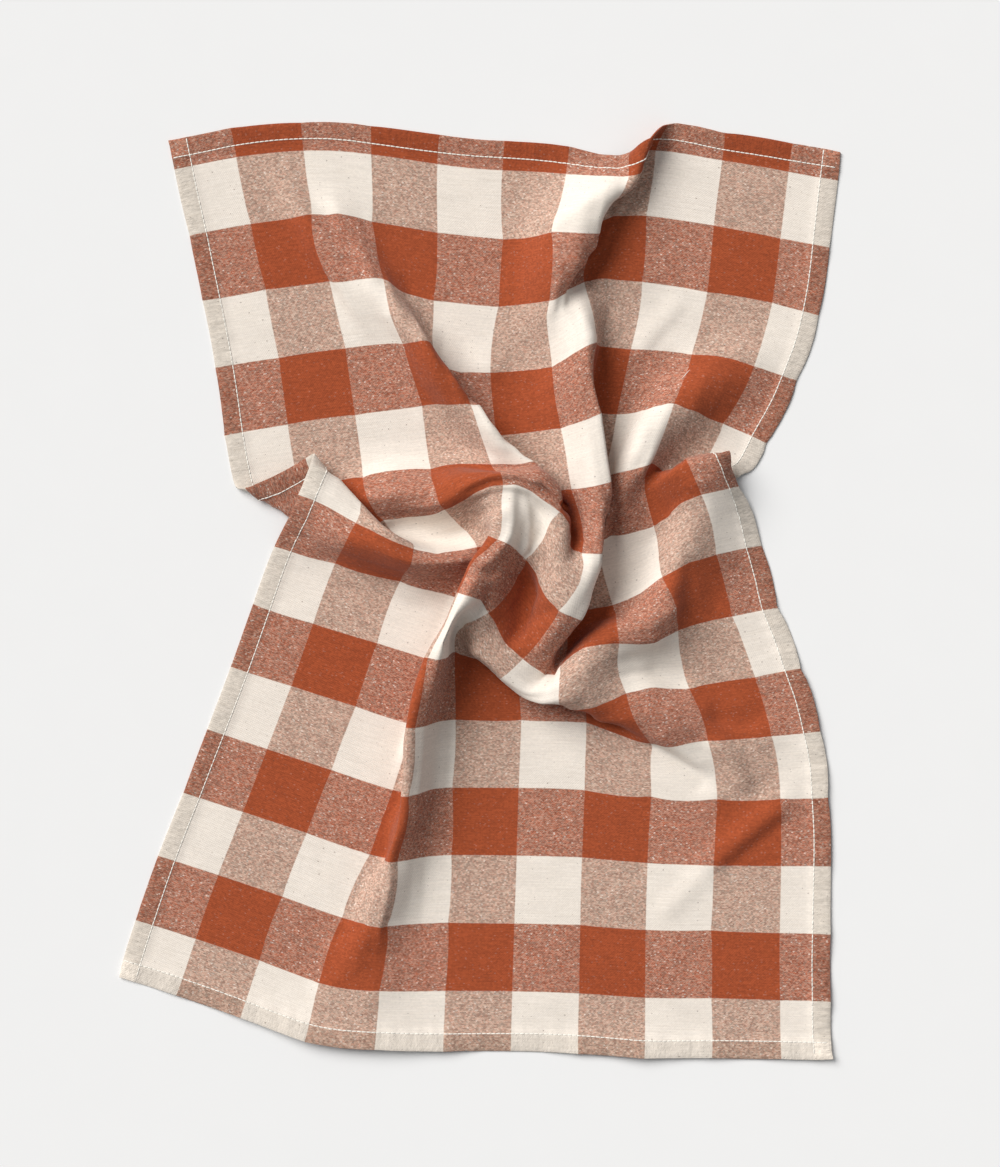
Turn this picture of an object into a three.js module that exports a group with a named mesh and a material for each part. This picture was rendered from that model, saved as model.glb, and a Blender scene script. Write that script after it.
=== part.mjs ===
// Tea towel of checked cotton, laid flat and then pinched together with a twist at its middle.
// The towel is one hemmed cloth, so it is one thin closed sheet that follows every fold.
// Millimetres, +Z up. The cloth rests on Z = 0 and the origin is under the middle of its outline.
import * as THREE from "three";

// The cloth lying flat.
const CHECK = 46.5; // side of one woven check
const LEFT_HEM = 0.07; // folded edges, in checks from the first colour change of the weave
const RIGHT_HEM = 10.74;
const TOP_HEM = 0.57;
const BOTTOM_HEM = 15.88;
const TOWEL_WIDTH = (RIGHT_HEM - LEFT_HEM) * CHECK; // 496
const TOWEL_LENGTH = (BOTTOM_HEM - TOP_HEM) * CHECK; // 712
const CLOTH_THICKNESS = 1.2; // a lofty plain weave with its doubled hems evened out

// How closely the cloth is followed while its folds settle.
const STRIPS_ACROSS = 88;
const STRIPS_DOWN = 128;
const SOLID_STEP = 2; // the solid takes every second line of the settled cloth

// Settling of the folds.
const SETTLING_ROUNDS = 300;
const LAST_SOFT_ROUNDS = 40;
const BENDING = 0.6;
const SHEARING = 0.15;
const SQUEEZING = 0.35;
const PLAN_PULL = 0.3;
const HEIGHT_PULL = 0.12;
const SAG_PER_ROUND = 0.012;
const LAYER_SPACING = 7.5; // middle to middle of two layers where the cloth lies on itself
const LAYER_SEARCH = 1.35 * LAYER_SPACING;

// Where each weft line between two rows of checks lies. One row per line: "down" counts checks
// from the top, "across" counts checks from the left, and "east", "north" and "height" are the
// places in millimetres from the middle of the twist and above the table.
const SECTIONS = [
  { name: "top hem", down: TOP_HEM,
    across: [LEFT_HEM, 1, 2, 3, 4, 5, 6, 7, 7.45, 8, 9, 10, RIGHT_HEM],
    east: [-214, -173, -123, -75, -27, 17, 60, 106, 116, 129, 166, 215, 246],
    north: [309, 318, 320, 318, 313, 309, 305, 299, 306, 318, 313, 306, 300],
    height: [0, 0, 1, 0, 0, 0, 1, 6, 16, 3, 1, 0, 1] },
  { name: "ridge below the top hem", down: 1,
    across: [7, 7.45, 8],
    east: [103, 108, 119],
    north: [281, 292, 302],
    height: [10, 17, 3] },
  { name: "line 2", down: 2,
    across: [LEFT_HEM, 1, 2, 2.4, 3, 4, 5, 6, 6.4, 6.86, 7.25, 7.58, 8, 9, 10, RIGHT_HEM],
    east: [-198, -156, -114, -96, -77, -29, 18, 46, 63, 84, 81, 93, 113, 160, 206, 239],
    north: [243, 252, 258, 259, 252, 245, 240, 244, 242, 241, 251, 258, 258, 251, 241, 235],
    height: [0, 0, 3, 10, 4, 0, 2, 20, 24, 18, 4, 1, 1, 0, 0, 1] },
  { name: "line 3", down: 3,
    across: [LEFT_HEM, 1, 2, 3, 3.35, 4, 5, 6, 6.3, 6.55, 7, 7.3, 8, 9, 10, RIGHT_HEM],
    east: [-191, -146, -100, -66, -53, -33, 14, 49, 56, 59, 71, 82, 110, 156, 201, 231],
    north: [200, 208, 213, 214, 202, 198, 194, 197, 201, 206, 213, 215, 212, 204, 198, 189],
    height: [0, 0, 2, 10, 9, 2, 2, 17, 21, 15, 3, 5, 3, 1, 2, 1] },
  { name: "line 4", down: 4,
    across: [LEFT_HEM, 1, 2, 2.75, 3, 3.75, 4.5, 5, 6, 6.95, 7.4, 8, 9, 10, RIGHT_HEM],
    east: [-182, -137, -91, -58, -51, -32, -16, 7, 49, 80, 82, 103, 144, 187, 215],
    north: [153, 159, 166, 169, 167, 167, 149, 149, 151, 169, 167, 165, 161, 153, 146],
    height: [0, 0, 2, 8, 8, 22, 3, 5, 8, 28, 3, 1, 3, 6, 1] },
  { name: "line 5, left half", down: 5,
    across: [LEFT_HEM, 1, 2, 3, 3.25, 4, 4.25, 4.75, 5.25, 6],
    east: [-177, -131, -85, -38, -27, -8, 0, 2, 20, 55],
    north: [106, 114, 119, 127, 128, 125, 126, 108, 107, 109],
    height: [0, 0, 1, 4, 8, 14, 24, 4, 3, 6] },
  { name: "line 5, right half", down: 5,
    across: [6.82, 7.35, 7.85, 8, 8.6, 9, 9.45, 10, 10.43, RIGHT_HEM],
    east: [84, 76, 85, 94, 117, 132, 152, 163, 184, 193],
    north: [121, 119, 121, 120, 124, 130, 122, 117, 107, 103],
    height: [30, 3, 2, 2, 10, 18, 14, 5, 2, 1] },
  { name: "line 6", down: 6,
    across: [1, 2, 3, 4, 4.5, 4.75, 5.3, 5.85, 6, 6.72, 7.4, 8.2, 8.7, 9],
    east: [-123, -80, -32, 7, 28, 40, 38, 56, 62, 88, 78, 88, 106, 117],
    north: [68, 75, 81, 86, 84, 86, 72, 70, 70, 74, 76, 78, 83, 88],
    height: [1, 6, 10, 18, 20, 28, 8, 12, 12, 32, 4, 4, 12, 22] },
  { name: "line 7", down: 7,
    across: [2, 3, 4, 4.5, 5, 5.5, 6, 6.45, 7.2, 8.35, 9, 9.3, 9.6, 10, RIGHT_HEM],
    east: [-66, -24, 18, 34, 56, 63, 66, 84, 76, 91, 119, 130, 135, 150, 176],
    north: [52, 57, 71, 70, 51, 38, 27, 27, 30, 38, 43, 49, 59, 66, 68],
    height: [19, 27, 32, 34, 30, 26, 24, 32, 6, 5, 6, 6, 14, 20, 6] },
  { name: "line 8, left half", down: 8,
    across: [LEFT_HEM, 1, 1.25, 2, 2.35, 3, 3.6, 4, 5],
    east: [-126, -83, -72, -44, -29, -1, 5, 14, 29],
    north: [64, 45, 41, 28, 23, 30, 40, 34, 25],
    height: [14, 22, 25, 30, 28, 22, 34, 38, 30] },
  { name: "line 8, right half", down: 8,
    across: [6, 6.45, 7, 7.6, 8, 8.5, 9, 9.5, 10, RIGHT_HEM],
    east: [49, 71, 65, 73, 91, 106, 125, 140, 158, 192],
    north: [-13, -19, -10, -16, -11, -5, 9, 21, 25, 29],
    height: [34, 30, 5, 3, 6, 10, 14, 18, 14, 2] },
  { name: "line 9, left half", down: 9,
    across: [LEFT_HEM, 1, 2, 3, 4, 4.3, 5, 5.5, 6],
    east: [-141, -99, -53, -17, -14, -3, 5, 14, 29],
    north: [30, 20, 8, -4, -1, -4, -16, -32, -45],
    height: [1, 4, 4, 4, 36, 34, 28, 20, 16] },
  { name: "line 9, right half", down: 9,
    across: [6.35, 7, 7.4, 8, 8.5, 9, 10, RIGHT_HEM],
    east: [46, 52, 69, 95, 117, 135, 171, 202],
    north: [-56, -52, -39, -35, -36, -26, -18, -13],
    height: [12, 14, 20, 20, 20, 14, 6, 2] },
  { name: "line 10", down: 10,
    across: [LEFT_HEM, 1, 2, 3, 4, 4.3, 8, 8.4, 9, 10, RIGHT_HEM],
    east: [-155, -114, -69, -31, -36, -27, 100, 117, 144, 189, 217],
    north: [-8, -22, -36, -47, -45, -45, -67, -64, -69, -60, -55],
    height: [0, 0, 0, 1, 36, 39, 14, 14, 5, 5, 3] },
  { name: "line 11", down: 11,
    across: [LEFT_HEM, 1, 2, 3, 4, 5, 6, 7, 8, 9, 10, RIGHT_HEM],
    east: [-171, -129, -84, -43, -45, -17, 29, 73, 119, 154, 198, 232],
    north: [-52, -65, -79, -92, -93, -88, -87, -88, -108, -101, -99, -97],
    height: [0, 0, 0, 1, 36, 1, 0, 1, 3, 7, 5, 3] },
  { name: "line 12", down: 12,
    across: [LEFT_HEM, 2, 3, 3.5, 4, 5, 7, 8, 9, 10, RIGHT_HEM],
    east: [-187, -101, -60, -44, -50, -20, 72, 118, 163, 205, 237],
    north: [-95, -123, -137, -138, -139, -135, -136, -139, -141, -141, -141],
    height: [0, 0, 0, 5, 28, 0, 0, 0, 3, 1, 3] },
  { name: "line 13", down: 13,
    across: [LEFT_HEM, 2, 3, 3.4, 3.7, 4, 5, 7, 9, RIGHT_HEM],
    east: [-203, -118, -74, -58, -67, -58, -21, 70, 159, 240],
    north: [-139, -166, -182, -183, -184, -184, -181, -182, -188, -189],
    height: [0, 0, 0, 1, 10, 16, 0, 0, 0, 3] },
  { name: "line 14", down: 14,
    across: [LEFT_HEM, 2, 3, 3.5, 4, 5, 7, 9, RIGHT_HEM],
    east: [-221, -134, -93, -76, -66, -23, 69, 157, 241],
    north: [-182, -210, -225, -227, -229, -227, -228, -232, -236],
    height: [0, 0, 0, 6, 9, 0, 0, 0, 3] },
  { name: "line 15", down: 15,
    across: [LEFT_HEM, 2, 3, 4, 5, 7, 9, 10, RIGHT_HEM],
    east: [-236, -150, -110, -70, -24, 68, 158, 206, 241],
    north: [-226, -253, -270, -273, -274, -276, -279, -281, -282],
    height: [0, 0, 2, 7, 0, 0, 0, 0, 3] },
  { name: "bottom hem", down: BOTTOM_HEM,
    across: [LEFT_HEM, 1, 2, 3, 4, 5, 7, 8, 9, 10, RIGHT_HEM],
    east: [-246, -209, -164, -120, -72, -25, 68, 112, 158, 207, 244],
    north: [-265, -277, -293, -309, -313, -316, -318, -321, -320, -320, -320],
    height: [1, 2, 5, 9, 8, 5, 4, 6, 3, 3, 4] },
];

// Where the cloth turns over or under itself between those lines. One row per fold, with the
// same columns, and "down" given at each station.
const FOLDS = [
  { name: "left notch, under turn",
    across: [LEFT_HEM, 0.7, 1, 1.5, 2],
    down: [5.95, 6.4, 6.65, 6.9, 7.15],
    east: [-161, -133, -118, -93, -64],
    north: [69, 52, 42, 42, 45],
    height: [1, 2, 2, 3, 3] },
  { name: "left notch, crest of the flap",
    across: [LEFT_HEM, 0.57, 1],
    down: [7.25, 7.53, 7.81],
    east: [-111, -95, -80],
    north: [94, 76, 53],
    height: [12, 16, 22] },
  { name: "left hem inside the notch",
    across: [LEFT_HEM, LEFT_HEM],
    down: [5.7, 6.95],
    east: [-167, -120],
    north: [73, 90],
    height: [0, 8] },
  { name: "top ridge, lower crest",
    across: [6.72, 6.58, 6.35],
    down: [2.25, 2.5, 2.75],
    east: [79, 73, 64],
    north: [232, 222, 212],
    height: [20, 20, 20] },
  { name: "top ridge, under turn",
    across: [7.2, 7],
    down: [2.25, 2.5],
    east: [79, 73],
    north: [244, 230],
    height: [3, 3] },
  { name: "ridge behind the pocket",
    across: [2, 3, 4],
    down: [6.5, 6.5, 6.5],
    east: [-74, -28, 13],
    north: [62, 68, 78],
    height: [15, 22, 28] },
  { name: "hollow of the pocket",
    across: [2.1, 2.6, 3],
    down: [7.45, 7.45, 7.45],
    east: [-54, -32, -11],
    north: [39, 38, 41],
    height: [3, 2, 5] },
  { name: "ridge before the pocket",
    across: [1, 2, 2.8],
    down: [8.4, 8.4, 8.4],
    east: [-92, -46, -14],
    north: [30, 16, 18],
    height: [22, 28, 26] },
  { name: "upper end of the long ridge",
    across: [3.75, 4, 4.5],
    down: [8.5, 8.5, 8.5],
    east: [-1, -6, 12],
    north: [22, 20, 11],
    height: [27, 37, 33] },
  { name: "hollow under the long ridge",
    across: [3.65, 3.65, 3.6],
    down: [9, 9.5, 10],
    east: [-9, -20, -30],
    north: [-3, -24, -47],
    height: [23, 22, 20] },
  { name: "trough in the middle of the twist",
    across: [4.6, 4.75, 5.05, 5.4],
    down: [7.1, 7.9, 8.5, 8.8],
    east: [32, 30, 26, 24],
    north: [66, 28, 3, -20],
    height: [32, 28, 14, 10] },
  { name: "dart across the middle, crest",
    across: [5, 5.5, 6, 6.5, 7, 7.5],
    down: [9.42, 9.55, 9.54, 9.75, 10, 10.45],
    east: [-14, -12, 14, 34, 57, 81],
    north: [-23, -42, -62, -71, -79, -91],
    height: [30, 26, 20, 16, 14, 9] },
  { name: "dart across the middle, under turn",
    across: [5, 6, 6.5, 7],
    down: [10, 10.05, 10.25, 10.45],
    east: [-16, 22, 45, 65],
    north: [-40, -51, -61, -68],
    height: [3, 3, 3, 3] },
  { name: "right notch, under turn",
    across: [RIGHT_HEM, RIGHT_HEM, 10, 9.4],
    down: [5.6, 5.95, 5.88, 6],
    east: [176, 163, 148, 127],
    north: [82, 80, 78, 75],
    height: [1, 1, 1, 2] },
  { name: "right notch, crest of the flap",
    across: [RIGHT_HEM, RIGHT_HEM, 10, 9.4],
    down: [6.35, 6.68, 6.35, 6.35],
    east: [166, 167, 138, 125],
    north: [96, 82, 91, 84],
    height: [20, 13, 22, 19] },
];

const FLOOR = CLOTH_THICKNESS / 2; // height of the cloth's middle where it lies on the table
const ROW = STRIPS_ACROSS + 1; // crossings on one line across
const LINES = STRIPS_DOWN + 1;
const STEP_ACROSS = TOWEL_WIDTH / STRIPS_ACROSS;
const STEP_DOWN = TOWEL_LENGTH / STRIPS_DOWN;

// All stations of both tables as plain records.
function listStations() {
  const stations = [];
  for (const row of [...SECTIONS, ...FOLDS]) {
    row.across.forEach((across, k) => {
      const down = Array.isArray(row.down) ? row.down[k] : row.down;
      stations.push({ across, down, place: [row.east[k], row.north[k], row.height[k]] });
    });
  }
  return stations;
}

// Solves a square system with several right-hand sides by elimination with row exchange.
function solve(matrix, right) {
  const size = matrix.length;
  const rows = matrix.map((line, k) => [...line, ...right[k]]);
  const width = rows[0].length;
  for (let k = 0; k < size; k += 1) {
    let best = k;
    for (let i = k + 1; i < size; i += 1) {
      if (Math.abs(rows[i][k]) > Math.abs(rows[best][k])) best = i;
    }
    [rows[k], rows[best]] = [rows[best], rows[k]];
    for (let i = k + 1; i < size; i += 1) {
      const factor = rows[i][k] / rows[k][k];
      if (factor === 0) continue;
      for (let j = k; j < width; j += 1) rows[i][j] -= factor * rows[k][j];
    }
  }
  for (let k = size - 1; k >= 0; k -= 1) {
    for (let j = size; j < width; j += 1) {
      for (let i = k + 1; i < size; i += 1) rows[k][j] -= rows[k][i] * rows[i][j];
      rows[k][j] /= rows[k][k];
    }
  }
  return rows.map((line) => line.slice(size));
}

// Spreads the stations over the whole cloth: at any point each coordinate is a tilted plane plus
// a sum of cones, one over each station, that meets every station exactly.
function spreadOverCloth(stations) {
  const count = stations.length;
  const cone = (a, b) => Math.hypot(a.across - b.across, a.down - b.down);
  const plane = (a) => [1, a.across, a.down];
  const matrix = stations.map((a) => [...stations.map((b) => cone(a, b)), ...plane(a)]);
  for (let k = 0; k < 3; k += 1) {
    matrix.push([...stations.map((a) => plane(a)[k]), 0, 0, 0]);
  }
  const right = [...stations.map((a) => a.place), [0, 0, 0], [0, 0, 0], [0, 0, 0]];
  const weights = solve(matrix, right);
  const points = new Float64Array(LINES * ROW * 3);
  for (let i = 0; i < LINES; i += 1) {
    for (let j = 0; j < ROW; j += 1) {
      const here = {
        across: LEFT_HEM + (j / STRIPS_ACROSS) * (RIGHT_HEM - LEFT_HEM),
        down: TOP_HEM + (i / STRIPS_DOWN) * (BOTTOM_HEM - TOP_HEM),
      };
      const shares = [...stations.map((a) => cone(a, here)), ...plane(here)];
      for (let k = 0; k < 3; k += 1) {
        let sum = 0;
        for (let n = 0; n < count + 3; n += 1) sum += shares[n] * weights[n][k];
        points[(i * ROW + j) * 3 + k] = sum;
      }
    }
  }
  for (let n = 2; n < points.length; n += 3) points[n] = Math.max(points[n] + FLOOR, FLOOR);
  return points;
}

// Brings two crossings to the length of thread between them. A stretched thread pulls with the
// first stiffness and a slack one pushes with the second.
function fitThread(points, a, b, length, pulling, pushing) {
  const dx = points[b] - points[a];
  const dy = points[b + 1] - points[a + 1];
  const dz = points[b + 2] - points[a + 2];
  const now = Math.sqrt(dx * dx + dy * dy + dz * dz) + 1e-9;
  const excess = now - length;
  const half = (0.5 * (excess > 0 ? pulling : pushing) * excess) / now;
  points[a] += dx * half;
  points[a + 1] += dy * half;
  points[a + 2] += dz * half;
  points[b] -= dx * half;
  points[b + 1] -= dy * half;
  points[b + 2] -= dz * half;
}

// Moves a crossing towards the middle of its two neighbours, and them half as far back.
function flatten(points, a, b, c) {
  for (let k = 0; k < 3; k += 1) {
    const bend = BENDING * ((points[a + k] + points[c + k]) / 2 - points[b + k]);
    points[b + k] += bend;
    points[a + k] -= bend / 2;
    points[c + k] -= bend / 2;
  }
}

function bendCloth(points) {
  for (let phase = 0; phase < 3; phase += 1) {
    for (let i = phase + 1; i < LINES - 1; i += 3) {
      for (let j = 0; j < ROW; j += 1) {
        const b = (i * ROW + j) * 3;
        flatten(points, b - ROW * 3, b, b + ROW * 3);
      }
    }
  }
  for (let phase = 0; phase < 3; phase += 1) {
    for (let i = 0; i < LINES; i += 1) {
      for (let j = phase + 1; j < ROW - 1; j += 3) {
        const b = (i * ROW + j) * 3;
        flatten(points, b - 3, b, b + 3);
      }
    }
  }
}

function fitThreads(points) {
  for (let repeat = 0; repeat < 2; repeat += 1) {
    for (let phase = 0; phase < 2; phase += 1) {
      for (let i = phase; i < LINES - 1; i += 2) {
        for (let j = 0; j < ROW; j += 1) {
          const a = (i * ROW + j) * 3;
          fitThread(points, a, a + ROW * 3, STEP_DOWN, 1, SQUEEZING);
        }
      }
    }
    for (let phase = 0; phase < 2; phase += 1) {
      for (let i = 0; i < LINES; i += 1) {
        for (let j = phase; j < ROW - 1; j += 2) {
          const a = (i * ROW + j) * 3;
          fitThread(points, a, a + 3, STEP_ACROSS, 1, SQUEEZING);
        }
      }
    }
  }
}

function shearCloth(points) {
  const diagonal = Math.hypot(STEP_ACROSS, STEP_DOWN);
  for (let phase = 0; phase < 2; phase += 1) {
    for (const lean of [1, -1]) {
      for (let i = phase; i < LINES - 1; i += 2) {
        for (let j = 0; j < ROW - 1; j += 1) {
          const a = (i * ROW + j + (lean < 0 ? 1 : 0)) * 3;
          fitThread(points, a, a + (ROW + lean) * 3, diagonal, SHEARING, SHEARING);
        }
      }
    }
  }
}

// The four crossings round each station and their shares in it.
function pinStations(stations) {
  return stations.map(({ across, down, place }) => {
    const y = ((down - TOP_HEM) / (BOTTOM_HEM - TOP_HEM)) * STRIPS_DOWN;
    const x = ((across - LEFT_HEM) / (RIGHT_HEM - LEFT_HEM)) * STRIPS_ACROSS;
    const i = Math.min(Math.floor(y), STRIPS_DOWN - 1);
    const j = Math.min(Math.floor(x), STRIPS_ACROSS - 1);
    const crossings = [i * ROW + j, i * ROW + j + 1, (i + 1) * ROW + j, (i + 1) * ROW + j + 1];
    const [above, before] = [1 - y + i, 1 - x + j];
    const [below, beyond] = [y - i, x - j];
    const shares = [above * before, above * beyond, below * before, below * beyond];
    const grip = shares.reduce((sum, share) => sum + share * share, 0);
    return { crossings, shares, grip, target: [place[0], place[1], place[2] + FLOOR] };
  });
}

function pullToStations(points, pins, planPull) {
  const pulls = pins.map((pin) => [0, 1, 2].map((k) => {
    const now = pin.crossings.reduce((sum, n, q) => sum + pin.shares[q] * points[n * 3 + k], 0);
    return ((k < 2 ? planPull : HEIGHT_PULL) * (pin.target[k] - now)) / pin.grip;
  }));
  pins.forEach((pin, p) => {
    pin.crossings.forEach((n, q) => {
      for (let k = 0; k < 3; k += 1) points[n * 3 + k] += pin.shares[q] * pulls[p][k];
    });
  });
}

// Pairs of crossings that are near each other in space but not neighbours in the cloth.
function findTouching(points) {
  const cells = new Map();
  const cellOf = (n, k) => Math.floor(points[n * 3 + k] / LAYER_SEARCH) + 512;
  const keyOf = (x, y, z) => (x * 1024 + y) * 1024 + z;
  for (let n = 0; n < LINES * ROW; n += 1) {
    const key = keyOf(cellOf(n, 0), cellOf(n, 1), cellOf(n, 2));
    if (!cells.has(key)) cells.set(key, []);
    cells.get(key).push(n);
  }
  const pairs = [];
  for (let a = 0; a < LINES * ROW; a += 1) {
    const [x, y, z] = [cellOf(a, 0), cellOf(a, 1), cellOf(a, 2)];
    for (let dx = -1; dx <= 1; dx += 1) {
      for (let dy = -1; dy <= 1; dy += 1) {
        for (let dz = -1; dz <= 1; dz += 1) {
          for (const b of cells.get(keyOf(x + dx, y + dy, z + dz)) ?? []) {
            const linesApart = Math.abs(Math.floor(a / ROW) - Math.floor(b / ROW));
            const placesApart = Math.abs((a % ROW) - (b % ROW));
            if (b > a && (linesApart > 2 || placesApart > 2)) pairs.push([a, b]);
          }
        }
      }
    }
  }
  return pairs;
}

// Pushes layers of the cloth apart to their spacing, all at once.
function partLayers(points, pairs) {
  const moves = new Float64Array(points.length);
  const touches = new Float64Array(LINES * ROW);
  for (const [a, b] of pairs) {
    const d = [0, 1, 2].map((k) => points[b * 3 + k] - points[a * 3 + k]);
    const gap = Math.hypot(...d) + 1e-9;
    if (gap >= LAYER_SPACING) continue;
    const push = (0.25 * (LAYER_SPACING - gap)) / gap;
    touches[a] += 1;
    touches[b] += 1;
    for (let k = 0; k < 3; k += 1) {
      moves[a * 3 + k] -= d[k] * push;
      moves[b * 3 + k] += d[k] * push;
    }
  }
  for (let n = 0; n < points.length; n += 1) {
    points[n] += moves[n] / Math.sqrt(Math.max(touches[Math.floor(n / 3)], 1));
  }
}

// Lets the cloth settle: threads keep their length, folds round out, and layers stay apart.
function settle() {
  const stations = listStations();
  const points = spreadOverCloth(stations);
  const pins = pinStations(stations);
  let pairs = [];
  for (let round = 0; round < SETTLING_ROUNDS; round += 1) {
    for (let n = 2; n < points.length; n += 3) points[n] -= SAG_PER_ROUND;
    bendCloth(points);
    fitThreads(points);
    shearCloth(points);
    const soft = round > SETTLING_ROUNDS - LAST_SOFT_ROUNDS;
    pullToStations(points, pins, soft ? 0.6 * PLAN_PULL : PLAN_PULL);
    if (round >= 20) {
      if (round === 20 || round % 8 === 0) pairs = findTouching(points);
      partLayers(points, pairs);
    }
    for (let n = 2; n < points.length; n += 3) points[n] = Math.max(points[n], FLOOR);
  }
  return points;
}

// Closes the settled cloth into a sheet of even thickness: an upper side, an underside, and a
// rim that joins them along the four hems.
function closedSheet(points) {
  const across = STRIPS_ACROSS / SOLID_STEP;
  const down = STRIPS_DOWN / SOLID_STEP;
  const at = (i, j) => {
    const line = THREE.MathUtils.clamp(i, 0, down) * SOLID_STEP;
    const place = THREE.MathUtils.clamp(j, 0, across) * SOLID_STEP;
    return new THREE.Vector3().fromArray(points, (line * ROW + place) * 3);
  };
  const upper = [];
  const lower = [];
  for (let i = 0; i <= down; i += 1) {
    for (let j = 0; j <= across; j += 1) {
      const eastward = at(i, j + 1).sub(at(i, j - 1));
      const northward = at(i - 1, j).sub(at(i + 1, j));
      const normal = eastward.cross(northward).normalize().multiplyScalar(CLOTH_THICKNESS / 2);
      upper.push(at(i, j).add(normal));
      lower.push(at(i, j).sub(normal));
    }
  }
  const corners = [...upper, ...lower];
  const under = upper.length;
  const index = [];
  const quad = (a, b, c, d) => index.push(a, b, c, a, c, d);
  const node = (i, j) => i * (across + 1) + j;
  for (let i = 0; i < down; i += 1) {
    for (let j = 0; j < across; j += 1) {
      const [a, b, c, d] = [node(i, j), node(i + 1, j), node(i + 1, j + 1), node(i, j + 1)];
      quad(a, b, c, d);
      quad(under + a, under + d, under + c, under + b);
    }
  }
  const rim = (a, b) => quad(a, b, under + b, under + a);
  for (let j = 0; j < across; j += 1) {
    rim(node(0, j), node(0, j + 1));
    rim(node(down, j + 1), node(down, j));
  }
  for (let i = 0; i < down; i += 1) {
    rim(node(i + 1, 0), node(i, 0));
    rim(node(i, across), node(i + 1, across));
  }
  const box = new THREE.Box3().setFromPoints(corners);
  const middle = box.getCenter(new THREE.Vector3());
  const geometry = new THREE.BufferGeometry();
  geometry.setFromPoints(corners);
  geometry.setIndex(index);
  geometry.translate(-middle.x, -middle.y, -box.min.z);
  geometry.computeVertexNormals();
  return geometry;
}

const cloth = new THREE.Mesh(
  closedSheet(settle()),
  new THREE.MeshStandardMaterial({ color: "#c58d72", roughness: 0.95, metalness: 0 }),
);
cloth.name = "towel_cloth";

const towel = new THREE.Group();
towel.name = "tea_towel";
towel.add(cloth);

export default towel;
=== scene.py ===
"""Tea towel of checked cotton, pinched together with a twist at its middle and laid on a table.

The cloth is one thin sheet. Its folds are worked out from the same named sizes and tables as the
solid that it stands for, then followed more closely, hemmed, creased and stitched.
"""

import functools

import bpy
import numpy as np
from bpy.props import FloatProperty, FloatVectorProperty, PointerProperty
from bpy.types import Operator, Panel, PropertyGroup
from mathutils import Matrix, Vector


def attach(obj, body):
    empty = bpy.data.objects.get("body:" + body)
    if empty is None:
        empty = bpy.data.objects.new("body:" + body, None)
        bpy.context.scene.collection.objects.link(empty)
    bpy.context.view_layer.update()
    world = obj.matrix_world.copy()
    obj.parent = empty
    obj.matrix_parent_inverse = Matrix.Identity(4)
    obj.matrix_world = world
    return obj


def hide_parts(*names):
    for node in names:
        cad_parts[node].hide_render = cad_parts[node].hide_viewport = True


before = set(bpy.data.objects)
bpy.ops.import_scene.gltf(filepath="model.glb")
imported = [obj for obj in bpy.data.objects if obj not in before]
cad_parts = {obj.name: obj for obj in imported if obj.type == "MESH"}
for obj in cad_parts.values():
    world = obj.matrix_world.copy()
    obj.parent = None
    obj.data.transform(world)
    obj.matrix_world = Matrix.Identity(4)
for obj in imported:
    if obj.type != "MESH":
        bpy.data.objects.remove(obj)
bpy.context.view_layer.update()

bl_info = {
    "name": "Tea towel",
    "version": (1, 0, 0),
    "blender": (4, 5, 0),
    "location": "View3D > Sidebar > Towel",
    "description": "A checked cotton tea towel with stitched hems, laid in folds",
    "category": "Add Mesh",
}

MM = 1000  # millimetres in a metre

# the cloth lying flat: one check in millimetres, the four edges in checks
CHECK = 46.5
LEFT_HEM, RIGHT_HEM = 0.07, 10.74
TOP_HEM, BOTTOM_HEM = 0.57, 15.88
TOWEL_WIDTH = (RIGHT_HEM - LEFT_HEM) * CHECK
TOWEL_LENGTH = (BOTTOM_HEM - TOP_HEM) * CHECK

# how low the middle of the solid's sheet can lie above the table, in millimetres
FLOOR = 0.6

# settling of the folds: the grid, the rounds, the stiffness of the cloth, how hard the stations
# of the tables pull, and how layers in millimetres are kept apart
STRIPS_ACROSS, STRIPS_DOWN = 88, 128
SETTLING_ROUNDS, LAST_SOFT_ROUNDS, THREAD_PASSES = 300, 40, 2
BENDING, SHEARING, SQUEEZING = 0.6, 0.15, 0.35
PLAN_PULL, HEIGHT_PULL, SAG_PER_ROUND = 0.3, 0.12, 0.012
LAST_PLAN_PULL = 0.6 * PLAN_PULL
LAYER_SPACING, LAYER_PUSH = 7.5, 0.25
SEARCH_REACH = 1.35 * LAYER_SPACING
FIRST_LAYER_ROUND, ROUNDS_PER_SEARCH = 20, 8

# lines of the fine grid that the visible cloth is made on
FINE_LINES_ACROSS, FINE_LINES_DOWN = 184, 262

# small relief: the share of a crease's path over which it fades at each end, then heights in
# millimetres of what covers the whole cloth or its hems
CREASE_END = 0.3
SLOW_WAVES, QUICK_WAVES, HEM_PUCKERS, HEM_WAVES = 0.16, 0.10, 0.3, 0.25

# the view, all in millimetres: middle and height of the picture at the table, in the tables'
# frame, and the camera's lens and sensor
VIEW_EAST, VIEW_NORTH, VIEW_HEIGHT = 13.7, 5.1, 800.6
LENS_LENGTH, SENSOR_WIDTH = 85.0, 36.0

# the studio: a wide sun from the upper left, a pale sky, and half the table's side and the
# height of its top in metres
SUN_FROM, SUN_ANGLE, SUN_STRENGTH = (-0.62, 0.55, 0.70), 0.75, 3.70
SUN_COLOUR, SKY_COLOUR, SKY_STRENGTH = (1.0, 0.985, 0.965), (0.96, 0.98, 1.0, 1.0), 0.28
TABLE_HALF_SIDE, TABLE_LEVEL = 4.0, -0.0001

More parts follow.
